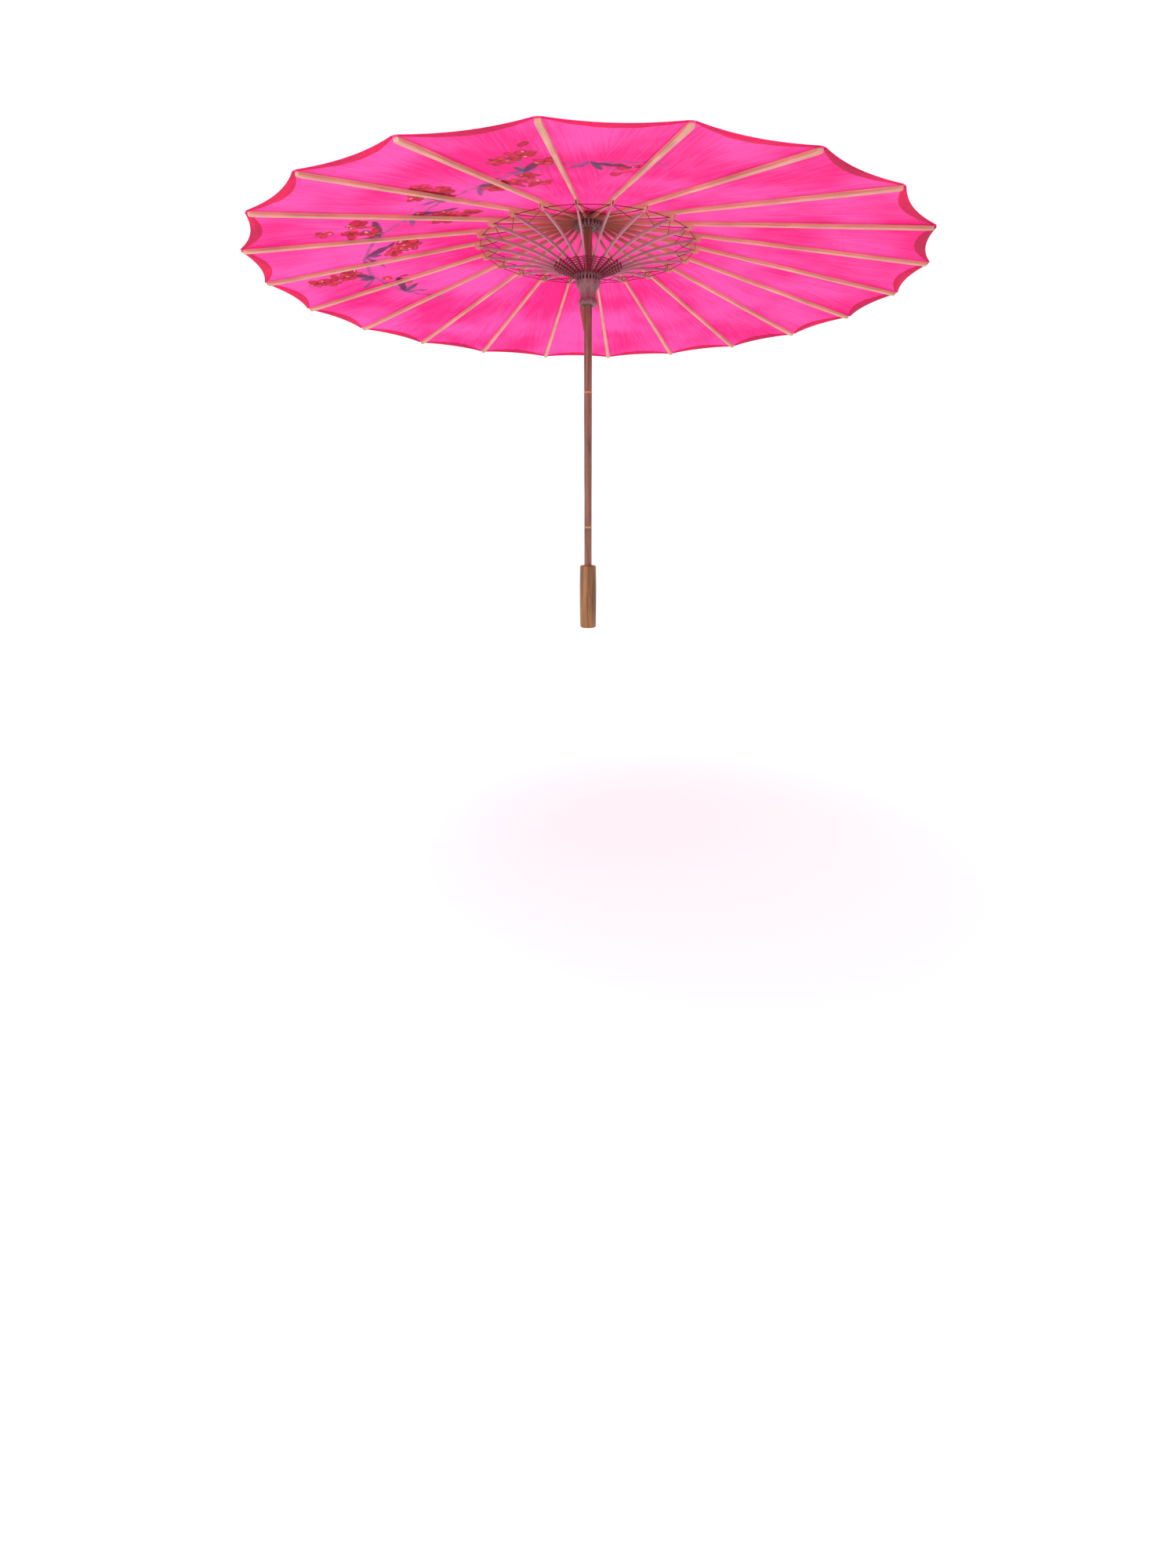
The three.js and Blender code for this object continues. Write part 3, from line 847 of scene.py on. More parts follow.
def runner_outline() -> np.ndarray:
    """Outline of the runner: a slotted crown, a waist and a flared foot."""
    low, high = heights("runner")
    outside = rounded(
        [
            (BORE, low),
            (11.8, low),
            (12.6, low + 2.2),
            (12.0, low + 4.8),
            (10.4, low + 7.0),
            (10.1, low + 12.5),
            (11.4, low + 16.5),
            (15.2, low + 21.5),
            (15.8, low + 25.0),
            (15.8, high),
            (BORE, high),
        ],
        1.2,
        4,
    )
    return spread(outside, PROFILE_STEP)


def spread(outline: np.ndarray, step: float) -> np.ndarray:
    """Close an outline, and add points so that no outer edge is longer than a step.

    Args:
        outline: the outline's points, from its first to its last on the bore.
        step: the longest edge.

    Returns:
        The closed outline; its last five points lead straight back to the first.
    """
    made = [outline[:1]]
    for start, end in zip(outline, outline[1:]):
        pieces = max(1, math.ceil(np.linalg.norm(end - start) / step))
        share = np.linspace(0, 1, pieces + 1)[1:, None]
        made.append(start + (end - start) * share)
    closed_outline = np.concatenate(made)
    back = np.linspace(closed_outline[-1], closed_outline[0], 6)[1:]
    return np.concatenate([closed_outline, back])


@dataclass
class Pole:
    """The cane pole, its turned handle, the cap and the spring catch."""

    radius: float = 5.3
    slot_half: float = 1.5
    slot_floor: float = 2.6

    def build(self) -> None:
        """Make the pole with its joints and its slot for the catch."""
        low, high = heights("pole")
        catch_low, catch_high = heights("spring_catch")
        slot_low, slot_high = catch_low - 2, catch_high + 2
        levels = np.arange(low, high - 1, 4.0)
        extra = [np.linspace(node - 4, node + 4, 17) for node in NODE_HEIGHTS]
        slot_rows = [slot_low, slot_low + 0.01, slot_high - 0.01, slot_high]
        edges = [slot_rows, [high - 1.0, high - 0.5, high - 0.15, high]]
        rows = np.unique(np.concatenate([levels, *extra, *edges]))
        swell = sum(0.45 * np.exp(-((rows - node) / 1.0) ** 2) for node in NODE_HEIGHTS)
        groove = sum(-0.25 * np.exp(-((rows - node - 2.2) / 0.7) ** 2) for node in NODE_HEIGHTS)
        drift = 0.08 * np.sin(rows / 37.0) + 0.05 * np.sin(rows / 11.0 + 1)
        radius = self.radius + swell + groove + drift - np.clip(rows - high + 1, 0, 1) ** 2 * 1.0
        edge = math.asin(self.slot_half / self.radius)
        round_part = np.linspace(-np.pi + edge, np.pi - edge, 33)
        slot_part = np.array([np.pi - edge + 0.001, np.pi, np.pi + edge - 0.001])
        turn = np.concatenate([round_part, slot_part])
        open_rows = (rows > slot_low) & (rows < slot_high)
        in_slot = open_rows[:, None] & (np.arange(len(turn)) >= len(round_part))
        across = radius[:, None] * np.sin(turn)
        out = np.where(in_slot, self.slot_floor, radius[:, None] * np.cos(turn))
        grid = np.stack([out, across, rows[:, None] + 0 * turn], 2)[:, ::-1]
        uv = np.stack(np.meshgrid(rows, np.linspace(0, 33, len(turn) + 1), indexing="ij"), 2)
        piece = Shape().add_grid(grid, uv, True, True).build("pole_cane", MATERIALS["pole"], 45)
        fit(piece, "pole", "bamboo_pole", "pole")
        dress("spring_catch", "rib")
        LOG.info("pole: cane with %d joints, catch", len(NODE_HEIGHTS))

    def build_handle(self) -> None:
        """Make the turned handle: a straight grip with rounded ends and a shallow socket."""
        low, high = heights("handle")
        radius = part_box("handle")[1][0] / MM - 0.2
        outline = rounded(
            [
                (0.01, low),
                (radius - 0.3, low),
                (radius + 0.1, low + 30),
                (radius + 0.1, high - 30),
                (radius - 0.5, high),
                (self.radius + 0.3, high),
                (self.radius + 0.3, high - 8),
                (0.01, high - 8),
            ],
            3.2,
            6,
        )
        grid, uv = turned(spread(outline, 3.0)[:-5], 48)
        piece = Shape().add_grid(grid, uv, True, True).build("handle_grip", MATERIALS["handle"], 50)
        fit(piece, "pole", "handle_wood", "handle")
        LOG.info("handle: turned grip")

    def build_cap(self) -> None:
        """Make the domed plastic cap with a small rim."""
        low, high = heights("cap")
        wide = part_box("cap")[1][0] / MM
        turn = np.linspace(0, np.pi / 2, 14)
        dome = np.stack([wide * np.cos(turn) ** 0.7, high - 8 + 8 * np.sin(turn)], 1)
        dome[-1, 0] = 0.01
        rim = [(wide - 0.6, low), (wide, low + 0.6), (wide, low + 1.8), (wide - 0.25, low + 2.2)]
        grid, uv = turned(np.concatenate([np.array([(self.radius + 0.3, low), *rim]), dome]), 40)
        piece = Shape().add_grid(grid, uv, True, True).build("cap_dome", MATERIALS["cap"], 40)
        fit(piece, "pole", "cap_plastic", "cap")
        LOG.info("cap: moulded dome")


@dataclass
class Spray:
    """A plain painted spray of blossom: one swaying twig with shoots to either side in turn.

    It is laid out by rule. Places are given as distance from the pole in millimetres and
    direction in degrees.
    """

    seed: int = 7
    petal: float = 7.0
    middle: float = -140.0
    reach: float = 70.0
    distance: float = 255.0
    sway: float = 30.0
    shoots: int = 9
    shoot: float = 44.0
    leaf_length: float = 38.0
    strokes: list = field(default_factory=list)

    def at(self, radius: float, degrees: float) -> np.ndarray:
        """A place on the open canopy, seen from above."""
        turn = math.radians(degrees)
        return np.array([radius * math.cos(turn), radius * math.sin(turn)])

    def oval(
        self,
        centre: np.ndarray,
        turn: float,
        half_length: float,
        half_width: float,
        colour: str,
        cover: float,
    ) -> None:
        """Add an oval dab of paint."""
        self.strokes.append(("oval", centre, turn, half_length, half_width, linear(colour)[:3], cover))

    def leaf(
        self, start: np.ndarray, end: np.ndarray, width: float, colour: str, cover: float = 0.85
    ) -> None:
        """Add a pointed leaf between two places."""
        self.strokes.append(("leaf", start, end, width, 0, linear(colour)[:3], cover))

    def twig(self, places: list, width: float, colour: str, cover: float = 0.7) -> None:
        """Add a thin twig through several places, as a chain of narrow leaves."""
        for start, end in zip(places, places[1:]):
            self.strokes.append(("line", start, end, width, 0, linear(colour)[:3], cover))

    def blossom(self, centre: np.ndarray, size: float, turn: float, rng: np.random.Generator) -> None:
        """Add a flower of five petals round a dark middle.

        Args:
            centre: its place.
            size: half the length of a petal.
            turn: direction of its first petal.
            rng: the source of its small differences.
        """
        for i in range(5):
            angle = turn + i * 2 * math.pi / 5 + rng.normal(0, 0.15)
            offset = size * 1.12 * np.array([math.cos(angle), math.sin(angle)])
            self.berry(centre + offset, angle, size * 0.9, rng)
        self.oval(centre, turn, size * 0.3, size * 0.26, "5c0a1c", 0.8)

    def berry(self, centre: np.ndarray, turn: float, size: float, rng: np.random.Generator) -> None:
        """Add one petal or bud: a dark oval, a red one on it and sometimes a pale dab.

        Args:
            centre: its place.
            turn: direction of its length.
            size: half its length.
            rng: the source of its small differences.
        """
        self.oval(centre, turn, size * 1.14, size * 0.84, "6c0620", 0.85)
        self.oval(centre, turn, size * 0.9, size * 0.6, ("d8123a", "c40e30", "ea2844")[rng.integers(3)], 0.85)
        if rng.random() < 0.22:
            away = size * 0.4 * np.array([math.cos(turn + 1), math.sin(turn + 1)])
            self.oval(centre + away, turn, size * 0.34, size * 0.16, "ffc4cc", 0.7)

    def branch(self, share: float) -> np.ndarray:
        """A place along the twig: an arc round the pole that sways in and out as a sine."""
        radius = self.distance + self.sway * math.sin(2.5 * math.pi * share)
        return self.at(radius, self.middle + self.reach * (2 * share - 1))

    def compose(self) -> "Spray":
        """Lay out the twig and its shoots, each with leaves at its foot and blossom and buds at its tip."""
        rng = np.random.default_rng(self.seed)
        bark, slate, teal, mauve = "8a4686", "241e44", "183c58", "70407c"
        self.twig([self.branch(share) for share in np.linspace(0, 1, 15)], 2.2, bark, 0.75)
        for i in range(1, self.shoots + 1):
            share = i / (self.shoots + 1)
            foot = self.branch(share)
            ahead = self.branch(share + 0.02) - foot
            ahead = ahead / np.linalg.norm(ahead)
            across = np.array([-ahead[1], ahead[0]]) * (1 if i % 2 else -1)
            tip = foot + self.shoot * rng.uniform(0.7, 1.1) * (0.5 * ahead + 0.87 * across)
            self.twig([foot, tip], 1.4, bark)
            for lean, width, colour in ((1.0, 5.2, slate), (0.1, 4.0, teal), (-0.8, 3.2, mauve)):
                end = foot + self.leaf_length * rng.uniform(0.7, 1.2) * (lean * ahead + 0.7 * across)
                self.leaf(foot, end, width, colour)
            for _ in range(4 if abs(2 * share - 1) < 0.7 else 0):
                place = tip + rng.normal(0, 12, 2)
                self.blossom(place, self.petal * rng.uniform(0.75, 1.05), rng.uniform(0, 6), rng)
            for _ in range(4):
                self.berry(tip + rng.normal(0, 15, 2), rng.uniform(0, 3), 5.8, rng)
        return self

    def coat(self, x: np.ndarray, y: np.ndarray) -> tuple[np.ndarray, np.ndarray]:
        """Work out the paint at many places at once.

        Each stroke covers what lies under it: cover = 1 well inside its outline, 0 outside.

        Args:
            x: first coordinate of each place, in millimetres.
            y: second coordinate.

        Returns:
            Colour (places by 3, linear) and cover (places).
        """
        colour = np.zeros((len(x), 3))
        cover = np.zeros(len(x))
        low, high = (np.array([side(x), side(y)]) for side in (np.min, np.max))
        for kind, start, second, third, fourth, paint, full in self.strokes:
            end = start if kind == "oval" else second
            margin = 2 + 1.2 * third
            past = np.minimum(start, end) > high + margin
            short = np.maximum(start, end) < low - margin
            if np.any(past) or np.any(short):
                continue
            if kind == "oval":
                dx, dy = x - start[0], y - start[1]
                u = dx * math.cos(second) + dy * math.sin(second)
                v = -dx * math.sin(second) + dy * math.cos(second)
                inside = smoothstep((1.12 - np.hypot(u / third, v / fourth)) / 0.24)
            else:
                ahead = second - start
                length = np.linalg.norm(ahead)
                ahead = ahead / length
                along = ((x - start[0]) * ahead[0] + (y - start[1]) * ahead[1]) / length
                off = np.abs(-(x - start[0]) * ahead[1] + (y - start[1]) * ahead[0])
                bulge = third * (4 * np.clip(along * (1 - along), 0, 1)) ** 0.7 if kind == "leaf" else third
                on = (along > -0.02) & (along < 1.02)
                inside = np.where(on, smoothstep((bulge + 0.5 - off) / 1.0), 0)
            amount = inside * full
            colour += (np.array(paint) - colour) * amount[:, None]
            cover += (1 - cover) * amount
        seen = np.maximum(cover, 1e-6)[:, None]
        return np.where(cover[:, None] > 0.001, colour / seen, 0), cover


class Part(Enum):
    """The parts of a gore that fold in their own ways."""

    WHOLE = 0
    STRIP = 1
    LEFT = 2
    RIGHT = 3


@dataclass
class Canopy:
    """The cloth cover, made of one gore on each rib, cut into pieces that fold separately.

    A gore runs from the middle of one gap to the middle of the next. Near the hub it is cut into
    whole bands. Further out it is a strip as wide as the rib, with a side panel on either side.
    """

    tip: float = 405.8
    whole: tuple = (10.3, 18.3, 25.0, 38.0, 60.0, 100.0)
    sides: tuple = (100.0, 150.0, 225.0, 310.0, 405.8)
    shoulder: float = 18.3
    settle: float = 90.0
    clear: float = 0.35
    sag: float = 0.9
    scallop: float = 7.8
    ripple: float = 0.75
    spray: Spray = field(default_factory=lambda: Spray().compose())

    def underside(self, radius: np.ndarray) -> np.ndarray:
        """Height of the cloth over a rib: flat on the hub, then straight to the rib's upper face.

        Args:
            radius: distance from the pole.

        Returns:
            Height in millimetres.
        """
        top = heights("hub")[1]
        rib_face = FAN.hub_height + (-1 + self.clear) / math.cos(FAN.slope)
        settled = rib_face - (self.settle - FAN.pivot_radius) * math.tan(FAN.slope)
        on_rib = rib_face - (radius - FAN.pivot_radius) * math.tan(FAN.slope)
        near = np.interp(
            radius,
            [0, 14.0, 16.5, self.shoulder, self.settle],
            [top + 0.45, top + 0.45, top - 0.7, top - 2.0, settled],
        )
        return np.where(radius < self.settle, near, on_rib)

    def strip_half(self, radius: np.ndarray) -> np.ndarray:
        """Half the width of the strip over a rib: the rib's own, and a little more."""
        rib = Ribs().body()
        return 0.5 * np.interp(radius - FAN.pivot_radius, rib[:-2, 0], rib[:-2, 3]) + 0.25

    def gap_half(self, radius: np.ndarray) -> np.ndarray:
        """Distance across from a rib to the middle of the gap."""
        return radius * math.cos(FAN.sector / 2) * math.sin(FAN.sector / 2)

    def depth(self, radius: np.ndarray) -> np.ndarray:
        """Sag at the middle of the gap."""
        return self.sag * np.clip((radius - 25) / (self.tip - 25), 0, 1) ** 0.8

    def shut_half(self, radius: float) -> float:
        """Distance across from a rib to the middle of the gap once the ribs have folded.

        The rib turns by the fold about its pivot, and the valley lies deeper than the ridge.

        Args:
            radius: distance from the pole on the open canopy.

        Returns:
            The distance in millimetres.
        """
        out = radius - FAN.pivot_radius
        up = float(self.underside(np.array(radius))) - FAN.hub_height
        ridge = FAN.pivot_radius + out * math.cos(FAN.fold) + up * math.sin(FAN.fold)
        valley = ridge - float(self.depth(np.array(radius))) - 0.0035 * radius
        return valley * math.tan(FAN.sector / 2)

    def gore_grid(self, radius: np.ndarray, share: np.ndarray, seed: float = 0.0) -> np.ndarray:
        """The cloth of one gore in its spoke's plane.

        With h half the angle between ribs and s the share of the half gore, a point lies at
        out = r (1 - |s| sin(h)^2) and across = s r cos(h) sin(h), so each half is a flat facet
        up to the middle of the gap. With t the share of the way from the strip's edge to the
        middle, the sag is 1 - (1 - t)^2 of its depth, so it has no slope at the middle, and the
        hem is pulled in by the same share of the scallop. Slanting ripples fade at both ends.

        Args:
            radius: rows, distance from the pole over the rib.
            share: rows by columns, s from -1 to 1 across the gore.
            seed: shifts the ripples.

        Returns:
            The grid of points.
        """
        half = FAN.sector / 2
        sideways = np.abs(share)
        radius = radius[:, None]
        edge = self.strip_half(radius) / self.gap_half(radius)
        way = np.clip((sideways - edge) / np.maximum(1 - edge, 0.05), 0, 1)
        curve = 1 - (1 - way) ** 2
        pull = smoothstep((radius - 300) / 110) * np.clip((radius - 300) / 110, 0, 1)
        r = radius - pull * self.scallop * curve
        out = r * (1 - np.minimum(sideways, 1) * math.sin(half) ** 2)
        across = share * self.gap_half(r)
        fade = 4 * way * (1 - way) * smoothstep((radius - 60) / 160)
        fade = fade * smoothstep((self.tip + 4 - radius) / 60)
        slant = np.sin(0.29 * np.abs(across) + 0.045 * r + seed)
        slant = slant + 0.6 * np.sin(0.17 * across - 0.03 * r + 2 * seed)
        height = self.underside(r) - self.depth(radius) * curve + self.ripple * fade * slant
        return np.stack([out, across, height], 2)

    def painted(self, index: int) -> bool:
        """Whether the spray reaches this gore."""
        degrees = (math.degrees(FAN.azimuth(index)) + 180) % 360 - 180
        return degrees <= -35 or degrees >= 110

    def gore(self, index: int, part: Part, start: float, end: float) -> bpy.types.Object:
        """Make one piece of a gore.

        Args:
            index: the rib, counted from 0.
            part: which part of the gore it is.
            start: distance from the pole where it begins.
            end: distance from the pole where it ends.

        Returns:
            The piece.
        """
        fine = 1.7 if self.painted(index) and end > 100 else 4.0
        lap = 0.4 if end < self.tip else 0.0
        radius = np.linspace(start, end + lap, max(4, int((end - start) / fine)))
        edge = (self.strip_half(radius) / self.gap_half(radius))[:, None]
        cols = max(4, int(float(self.gap_half(np.array(end))) / fine))
        if part is Part.WHOLE:
            wide = 1.0
            if end <= self.shoulder:
                shut = [self.shut_half(r) / float(self.gap_half(r)) for r in radius]
                wide = np.maximum(1.0, shut)[:, None]
            share = wide * np.linspace(-1, 1, 2 * cols + 1)[None, :] + 0 * edge
        elif part is Part.STRIP:
            share = edge * np.linspace(-1, 1, 7)[None, :]
        else:
            way = np.linspace(0, 1.004, cols)[None, :]
            share = edge + way * (1 - edge)
            share = share if part is Part.RIGHT else -share[:, ::-1]
        grid = self.gore_grid(radius, share, 1.7 * index)
        uv = np.stack([radius[:, None] + 0 * share, grid[..., 1] + 137 * index], 2)
        placed = FAN.place(index, grid)[:, ::-1]
        name = f"gore_{index + 1:02d}_{part.name.lower()}_{start:.0f}"
        piece = Shape().add_grid(placed, uv[:, ::-1]).build(name, MATERIALS["canopy"], 80)
        self.paint(piece, placed.reshape(-1, 3))
        fit(piece, RIBS[index], "canopy_cloth")
        self.narrow(piece, index, part, start, end)
        return piece

    def narrow(self, piece: bpy.types.Object, index: int, part: Part, start: float, end: float) -> None:
        """Work out the share of its width that a piece would keep once the frame folds, and give it a mesh of
        its own when that share is below one.

        The share is worked out near the piece's inner end.

        Args:
            piece: the piece.
            index: the rib, counted from 0.
            part: which part of the gore it is.
            start: distance from the pole where it begins.
            end: distance from the pole where it ends.
        """
        if part is Part.STRIP:
            return
        radius = start + (0.08 if part is Part.WHOLE else 0.3) * (end - start)
        edge = 0.0 if part is Part.WHOLE else float(self.strip_half(np.array(radius)))
        side = -1 if part is Part.LEFT else 1
        keep = (self.shut_half(radius) - edge) / (float(self.gap_half(np.array(radius))) - edge)
        anchor = FAN.place(index, np.array([radius, side * edge, 450.0])) * MM
        if keep < 1:
            axis, keep = FAN.tangent(index), max(keep, 0.02)
            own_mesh(piece)

    def paint(self, piece: bpy.types.Object, points: np.ndarray) -> None:
        """Store the spray's colour and cover at each vertex.

        Args:
            piece: the piece.
            points: the places of its vertices, in millimetres.
        """
        colour, cover = self.spray.coat(points[:, 0], points[:, 1])
        layer = piece.data.attributes.new("Paint", "FLOAT_COLOR", "POINT")
        rgba = np.concatenate([colour, cover[:, None]], 1).astype(np.float32)
        layer.data.foreach_set("color", rgba.ravel())

    def hem(self, index: int, part: Part) -> bpy.types.Object:
        """Make half of the folded hem under a gore's edge: a flat roll, widest mid-gap.

        Args:
            index: the rib, counted from 0.
            part: the left or the right half.

        Returns:
            The piece.
        """
        way = np.linspace(0, 1, 22)
        turn = np.linspace(0, 2 * np.pi, 10, endpoint=False)
        edge = float(self.strip_half(np.array(self.tip)) / self.gap_half(np.array(self.tip)))
        share = edge + way * (1 - edge)
        width = 3.0 + 9.0 * (1 - (1 - way) ** 2)
        if part is Part.LEFT:
            share, width = -share[::-1], width[::-1]
        rim = self.gore_grid(np.array([self.tip]), share[None, :], 1.7 * index)[0]
        inner = self.gore_grid(np.array([self.tip - 12.0]), share[None, :], 1.7 * index)[0]
        inward = (inner - rim) / np.linalg.norm(inner - rim, axis=1, keepdims=True)
        back = (0.5 - 0.5 * np.cos(turn))[None, :, None] * width[:, None, None] - 0.5
        down = 0.4 * np.sin(turn)[None, :, None] * np.array([0, 0, 1.0])
        grid = rim[:, None] + inward[:, None, :] * back + down - np.array([0, 0, 0.6])
        uv = np.stack(np.meshgrid(share * 58, np.linspace(0, 24, 11), indexing="ij"), 2)
        shape = Shape().add_grid(FAN.place(index, grid), uv, True, True)
        piece = shape.build(f"hem_{index + 1:02d}_{part.name.lower()}", MATERIALS["hem"], 80)
        fit(piece, RIBS[index], "canopy_cloth")
        self.narrow(piece, index, part, self.sides[-2], self.sides[-1])
        return piece

    def build(self) -> None:
        """Make every gore and hem, and the still cloth over the hub."""
        for index in range(FAN.ribs):
            pieces = [self.gore(index, Part.STRIP, self.sides[0], self.sides[-1])]
            for start, end in zip(self.whole, self.whole[1:]):
                pieces.append(self.gore(index, Part.WHOLE, start, end))
            for part in (Part.LEFT, Part.RIGHT):
                for start, end in zip(self.sides, self.sides[1:]):
                    pieces.append(self.gore(index, part, start, end))
                self.hem(index, part)
            if index == 0:
                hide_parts("canopy")
        radius = np.concatenate([np.linspace(6.8, 14, 5), np.linspace(15, 19.0, 5)])
        profile = np.stack([radius, self.underside(radius) + 0.35], 1)
        grid, uv = turned(profile, 66)
        crown = Shape().add_grid(grid, uv, True).build("canopy_crown", MATERIALS["canopy"], 80)
        self.paint(crown, np.zeros((len(crown.data.vertices), 3)))
        fit(crown, "pole", "canopy_cloth")
        LOG.info("canopy: %d gores of %d pieces", FAN.ribs, len(pieces) + 2)


@dataclass
class Threads:
    """The red threads: a ring with zigzags through the strut joints, and a net above the runner."""

    radius: float = 0.42
    ladder: float = 25.0
    rows: tuple = (95.0, 98.8, 102.6, 106.2, 109.8, 113.2, 116.4, 119.0)

    def strut_point(self, index: int, along: float, lift: float = 0.0) -> np.ndarray:
        """A place on a strut's middle line, in the part's frame."""
        height = Struts().centre(np.array(along)) + lift
        return FAN.place(index, FAN.strut_to_spoke(np.array([along, 0.0, float(height)])))

    def line(self, shape: Shape, start: np.ndarray, end: np.ndarray, droop: float = 0.0) -> None:
        """Add a thread between two places.

        Args:
            shape: the shape that it joins.
            start: one end.
            end: the other end.
            droop: how far its middle hangs below the straight line, in millimetres.
        """
        share = np.linspace(0, 1, 5)[:, None]
        path = start + (end - start) * share - np.array([0, 0, 4 * droop]) * share * (1 - share)
        grid, uv = tube(path, self.radius, 5)
        shape.add_grid(grid, uv, True, True)

    def finish(self, shape: Shape, name: str, index: int, body: str, keep: float) -> bpy.types.Object:
        """Build a thread piece on its body, with a mesh of its own.

        Args:
            shape: its threads.
            name: the piece's name.
            index: the spoke, counted from 0.
            body: the body that it rides on.
            keep: not used.

        Returns:
            The piece.
        """
        piece = shape.build(name, MATERIALS["thread"], 80)
        fit(piece, body, "binding_thread")
        anchor = FAN.place(index, np.array([FAN.joint_radius, 0.0, FAN.joint_height])) * MM
        FAN.tangent(index)
        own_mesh(piece)
        return piece

    def build(self) -> None:
        """Make the ring, the zigzags and the net."""
        closed_joint = FAN.pivot_radius + FAN.link * math.cos(FAN.link_angle + FAN.fold)
        ring_keep = closed_joint / FAN.joint_radius
        for index in range(FAN.ribs):
            before, after = (index - 1) % FAN.ribs, (index + 1) % FAN.ribs
            here = FAN.place(index, np.array([FAN.joint_radius, 0.0, FAN.joint_height]))
            ring = Shape()
            for other in (before, after):
                there = FAN.place(other, np.array([FAN.joint_radius, 0.0, FAN.joint_height]))
                self.line(ring, here, 0.5 * (here + there), 0.3)
            first = self.finish(ring, f"thread_ring_{index + 1:02d}", index, RIBS[index], ring_keep)
            zigzag = Shape()
            low = self.strut_point(index, self.ladder, 1.5)
            for other in (before, after):
                there = FAN.place(other, np.array([FAN.joint_radius - 1.0, 0.0, FAN.joint_height + 0.6]))
                self.line(zigzag, low, there, 0.6)
            self.finish(zigzag, f"thread_zigzag_{index + 1:02d}", index, STRUTS[index], ring_keep)
            net = self.net(index)
            if index == 0:
                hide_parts("joint_thread")
                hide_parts("net_thread")
        LOG.info("threads: ring, zigzags and a net of %d rows", len(self.rows))

    def net(self, index: int) -> bpy.types.Object:
        """Make one strut's share of the net: crossing threads from each row to the rows beside it.

        Args:
            index: the strut, counted from 0.

        Returns:
            The piece.
        """
        shape = Shape()
        for row, along in enumerate(self.rows):
            here = self.strut_point(index, along)
            for beside in (index - 1, index + 1):
                for other in (row - 1, row + 1):
                    if 0 <= other < len(self.rows):
                        there = self.strut_point(beside % FAN.ribs, self.rows[other])
                        self.line(shape, here, 0.5 * (here + there) - np.array([0, 0, 0.6]))
            knot_path = np.stack([self.strut_point(index, along, lift) for lift in (-1.7, 1.7)])
            grid, uv = tube(np.linspace(knot_path[0], knot_path[1], 3), 1.45, 8)
            shape.add_grid(grid, uv, True, True)
        open_radius = FAN.joint_radius - 0.5 * (self.rows[0] + self.rows[-1]) * math.cos(FAN.link_angle)
        keep = FAN.pivot_radius / open_radius
        return self.finish(shape, f"thread_net_{index + 1:02d}", index, STRUTS[index], keep)


@dataclass
class Frill:
    """The pinked cloth frill and the gathered band that ties it round the neck."""

    reach: float = 44.0
    lobes: int = 4
    teeth: int = 76
    tooth: float = 2.6

    def build(self) -> None:
        """Make the frill: its edge is a zigzag, and its height rises and falls in soft lobes."""
        foot = heights("hub")[1] + 4.9
        cols = self.teeth * 4
        turn = np.linspace(0, 2 * np.pi, cols, endpoint=False)
        out = np.linspace(0, 1, 26)[:, None]
        saw = np.abs((np.arange(cols) % 4) - 2) / 2.0
        outline = self.reach * (1 + 0.1 * np.cos(self.lobes * turn)) - self.tooth * (1 - saw)
        radius = 6.6 + (outline - 6.6)[None, :] * out
        lift = np.clip((radius - 14) / (45 - 14), 0, None)
        wave = 3.0 + 8 * np.cos(self.lobes * turn)[None, :]
        ripple = 0.5 * np.sin(5 * turn + 1)[None, :] * lift * 2
        height = foot + lift * wave + ripple
        gathers = 0.35 * np.cos(34 * turn)[None, :] * np.exp(-((radius - 9) / 5) ** 2)
        grid = np.stack([radius * np.cos(turn), radius * np.sin(turn), height + gathers], 2)
        around = np.linspace(0, 2 * np.pi * 30, cols + 1)
        uv = np.stack([np.repeat(out * 40, cols + 1, 1), np.repeat(around[None, :], 26, 0)], 2)
        piece = Shape().add_grid(grid[:, ::-1], uv, True).build("frill_sheet", MATERIALS["frill"], 80)
        solid = piece.modifiers.new("cloth thickness", "SOLIDIFY")
        solid.thickness = 0.35 * MM
        solid.offset = 0
        fit(piece, "pole", "frill_cloth", "top_frill")
        LOG.info("frill: %d teeth", self.teeth)

    def build_band(self) -> None:
        """Make the gathered band: a turned skirt over the shoulder, rippled with its gathers."""
        top = heights("hub")[1]
        corners = [
            (7.0, top + 1.4),
            (14.0, top + 1.4),
            (17.0, top + 0.2),
            (19.2, top - 1.6),
            (19.9, top - 1.2),
            (18.8, top + 0.4),
            (15.2, top + 2.9),
            (9.5, top + 4.7),
            (7.0, top + 4.8),
        ]
        outline = rounded(corners, 1.0, 5)
        grid, uv = turned(np.concatenate([outline, outline[:1]]), 132)
        turn = np.arctan2(grid[..., 1], grid[..., 0])
        swell = 1 - 0.012 * (1 + np.cos(33 * turn))
        grid[..., :2] *= swell[..., None]
        piece = Shape().add_grid(grid, uv, True).build("band_roll", MATERIALS["band"], 70)
        fit(piece, "pole", "band_cloth", "frill_band")
        LOG.info("band: gathered roll")


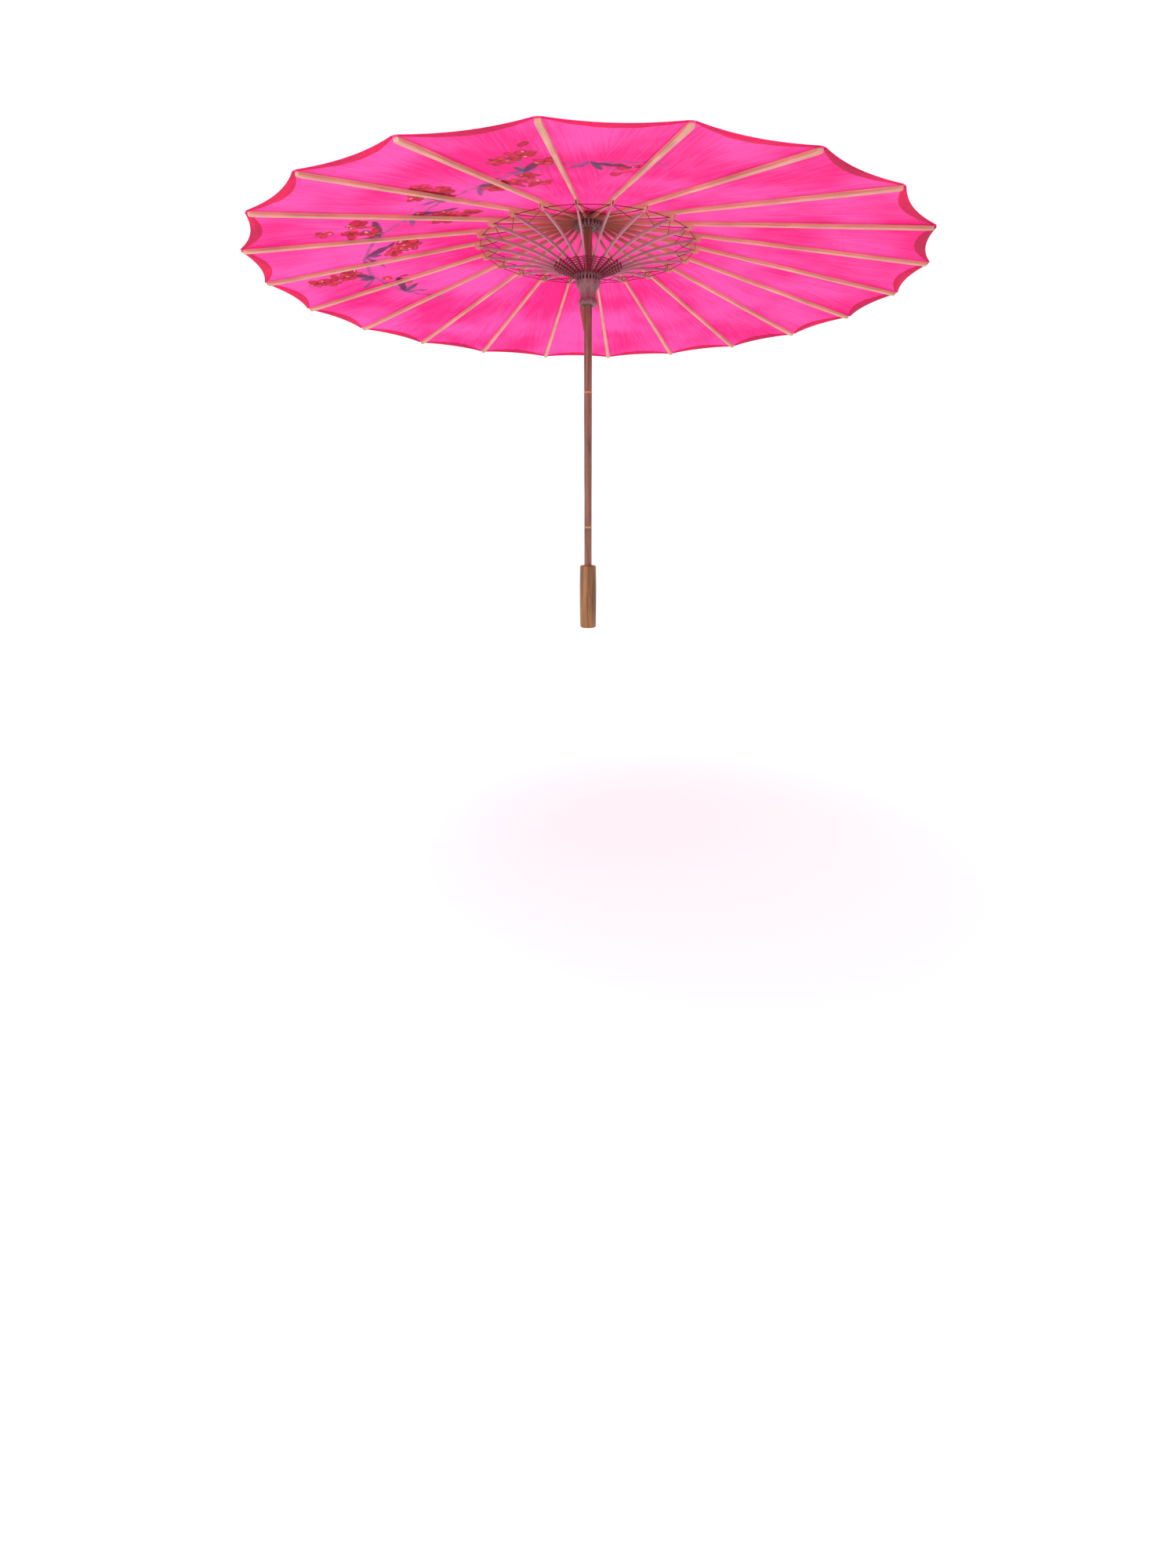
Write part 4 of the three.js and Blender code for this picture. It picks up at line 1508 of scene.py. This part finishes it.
@dataclass
class Studio:
    """The pale floor, the lights and the camera."""

    floor: float = -0.32
    lens: float = 15.67
    distance: float = 1.0492
    height: float = 0.1563
    pitch: float = math.radians(21.4)
    turn: float = math.radians(5.29)

    def build(self) -> None:
        """Set up the floor, the lights and the camera."""
        self.build_floor()
        self.build_lights()
        self.build_camera()
        LOG.info("studio: floor, lights and camera")

    def build_floor(self) -> None:
        """A large flat sheet of pale paper below the parasol."""
        paper, tree, _ = start_material("matt_white_paper")
        skin = add_node(tree, "BsdfPrincipled", {"Base Color": linear("fbfbfb"), "Roughness": 0.9})
        add_node(tree, "OutputMaterial", {"Surface": skin})
        mesh = bpy.data.meshes.new("floor")
        size = 30.0
        corners = [(x * size, y * size, self.floor) for x, y in ((-1, -1), (1, -1), (1, 1), (-1, 1))]
        mesh.from_pydata(corners, [], [(0, 1, 2, 3)])
        mesh.materials.append(paper)
        floor = bpy.data.objects.new("floor", mesh)
        bpy.context.scene.collection.objects.link(floor)

    def build_lights(self) -> None:
        """A bright even sky, a broad light above and a soft one in front."""
        world = bpy.data.worlds.new("studio")
        bpy.context.scene.world = world
        world.use_nodes = True
        sky = world.node_tree.nodes["Background"]
        sky.inputs["Color"].default_value = (1, 1, 1, 1)
        sky.inputs["Strength"].default_value = 1.08
        for name, place, size, power in (
            ("overhead", (-0.5, 0.3, 2.2), 1.2, 14.0),
            ("front", (-1.2, -1.4, 0.5), 0.7, 7.0),
        ):
            light = bpy.data.lights.new(name, "AREA")
            light.size = size
            light.energy = power
            lamp = bpy.data.objects.new(name, light)
            lamp.location = place
            aim = Vector((0, 0, 0.45)) - Vector(place)
            lamp.rotation_euler = aim.to_track_quat("-Z", "Y").to_euler()
            bpy.context.scene.collection.objects.link(lamp)

    def build_camera(self) -> None:
        """A wide lens below the canopy, tilted down, with the parasol in the upper part of the view."""
        lens = bpy.data.cameras.new("camera")
        lens.sensor_fit = "VERTICAL"
        lens.sensor_height = 36.0
        lens.lens = self.lens
        lens.clip_start = 0.01
        camera = bpy.data.objects.new("camera", lens)
        around = Matrix.Rotation(self.turn, 4, "Z")
        back = Matrix.Translation((0, -self.distance, self.height))
        tilt = Matrix.Rotation(math.pi / 2 - self.pitch, 4, "X")
        camera.matrix_world = around @ back @ tilt
        bpy.context.scene.collection.objects.link(camera)
        bpy.context.scene.camera = camera
        bpy.context.scene.view_settings.view_transform = "Standard"


def main() -> None:
    """Build the parasol, piece by piece, then the studio."""
    logging.basicConfig(level=logging.INFO, format="%(message)s")
    Ribs().build()
    Struts().build()
    hub_low, runner_high = heights("hub")[0], heights("runner")[1]
    SlottedBlock(Block.HUB, "pole", hub_outline(), hub_low - 1, FAN.hub_height + 2.7).build()
    SlottedBlock(Block.RUNNER, "runner", runner_outline(), runner_high - 9.5, runner_high + 1).build()
    pole = Pole()
    pole.build()
    pole.build_handle()
    pole.build_cap()
    Canopy().build()
    Threads().build()
    frill = Frill()
    frill.build()
    frill.build_band()
    Studio().build()


if __name__ == "__main__":
    main()
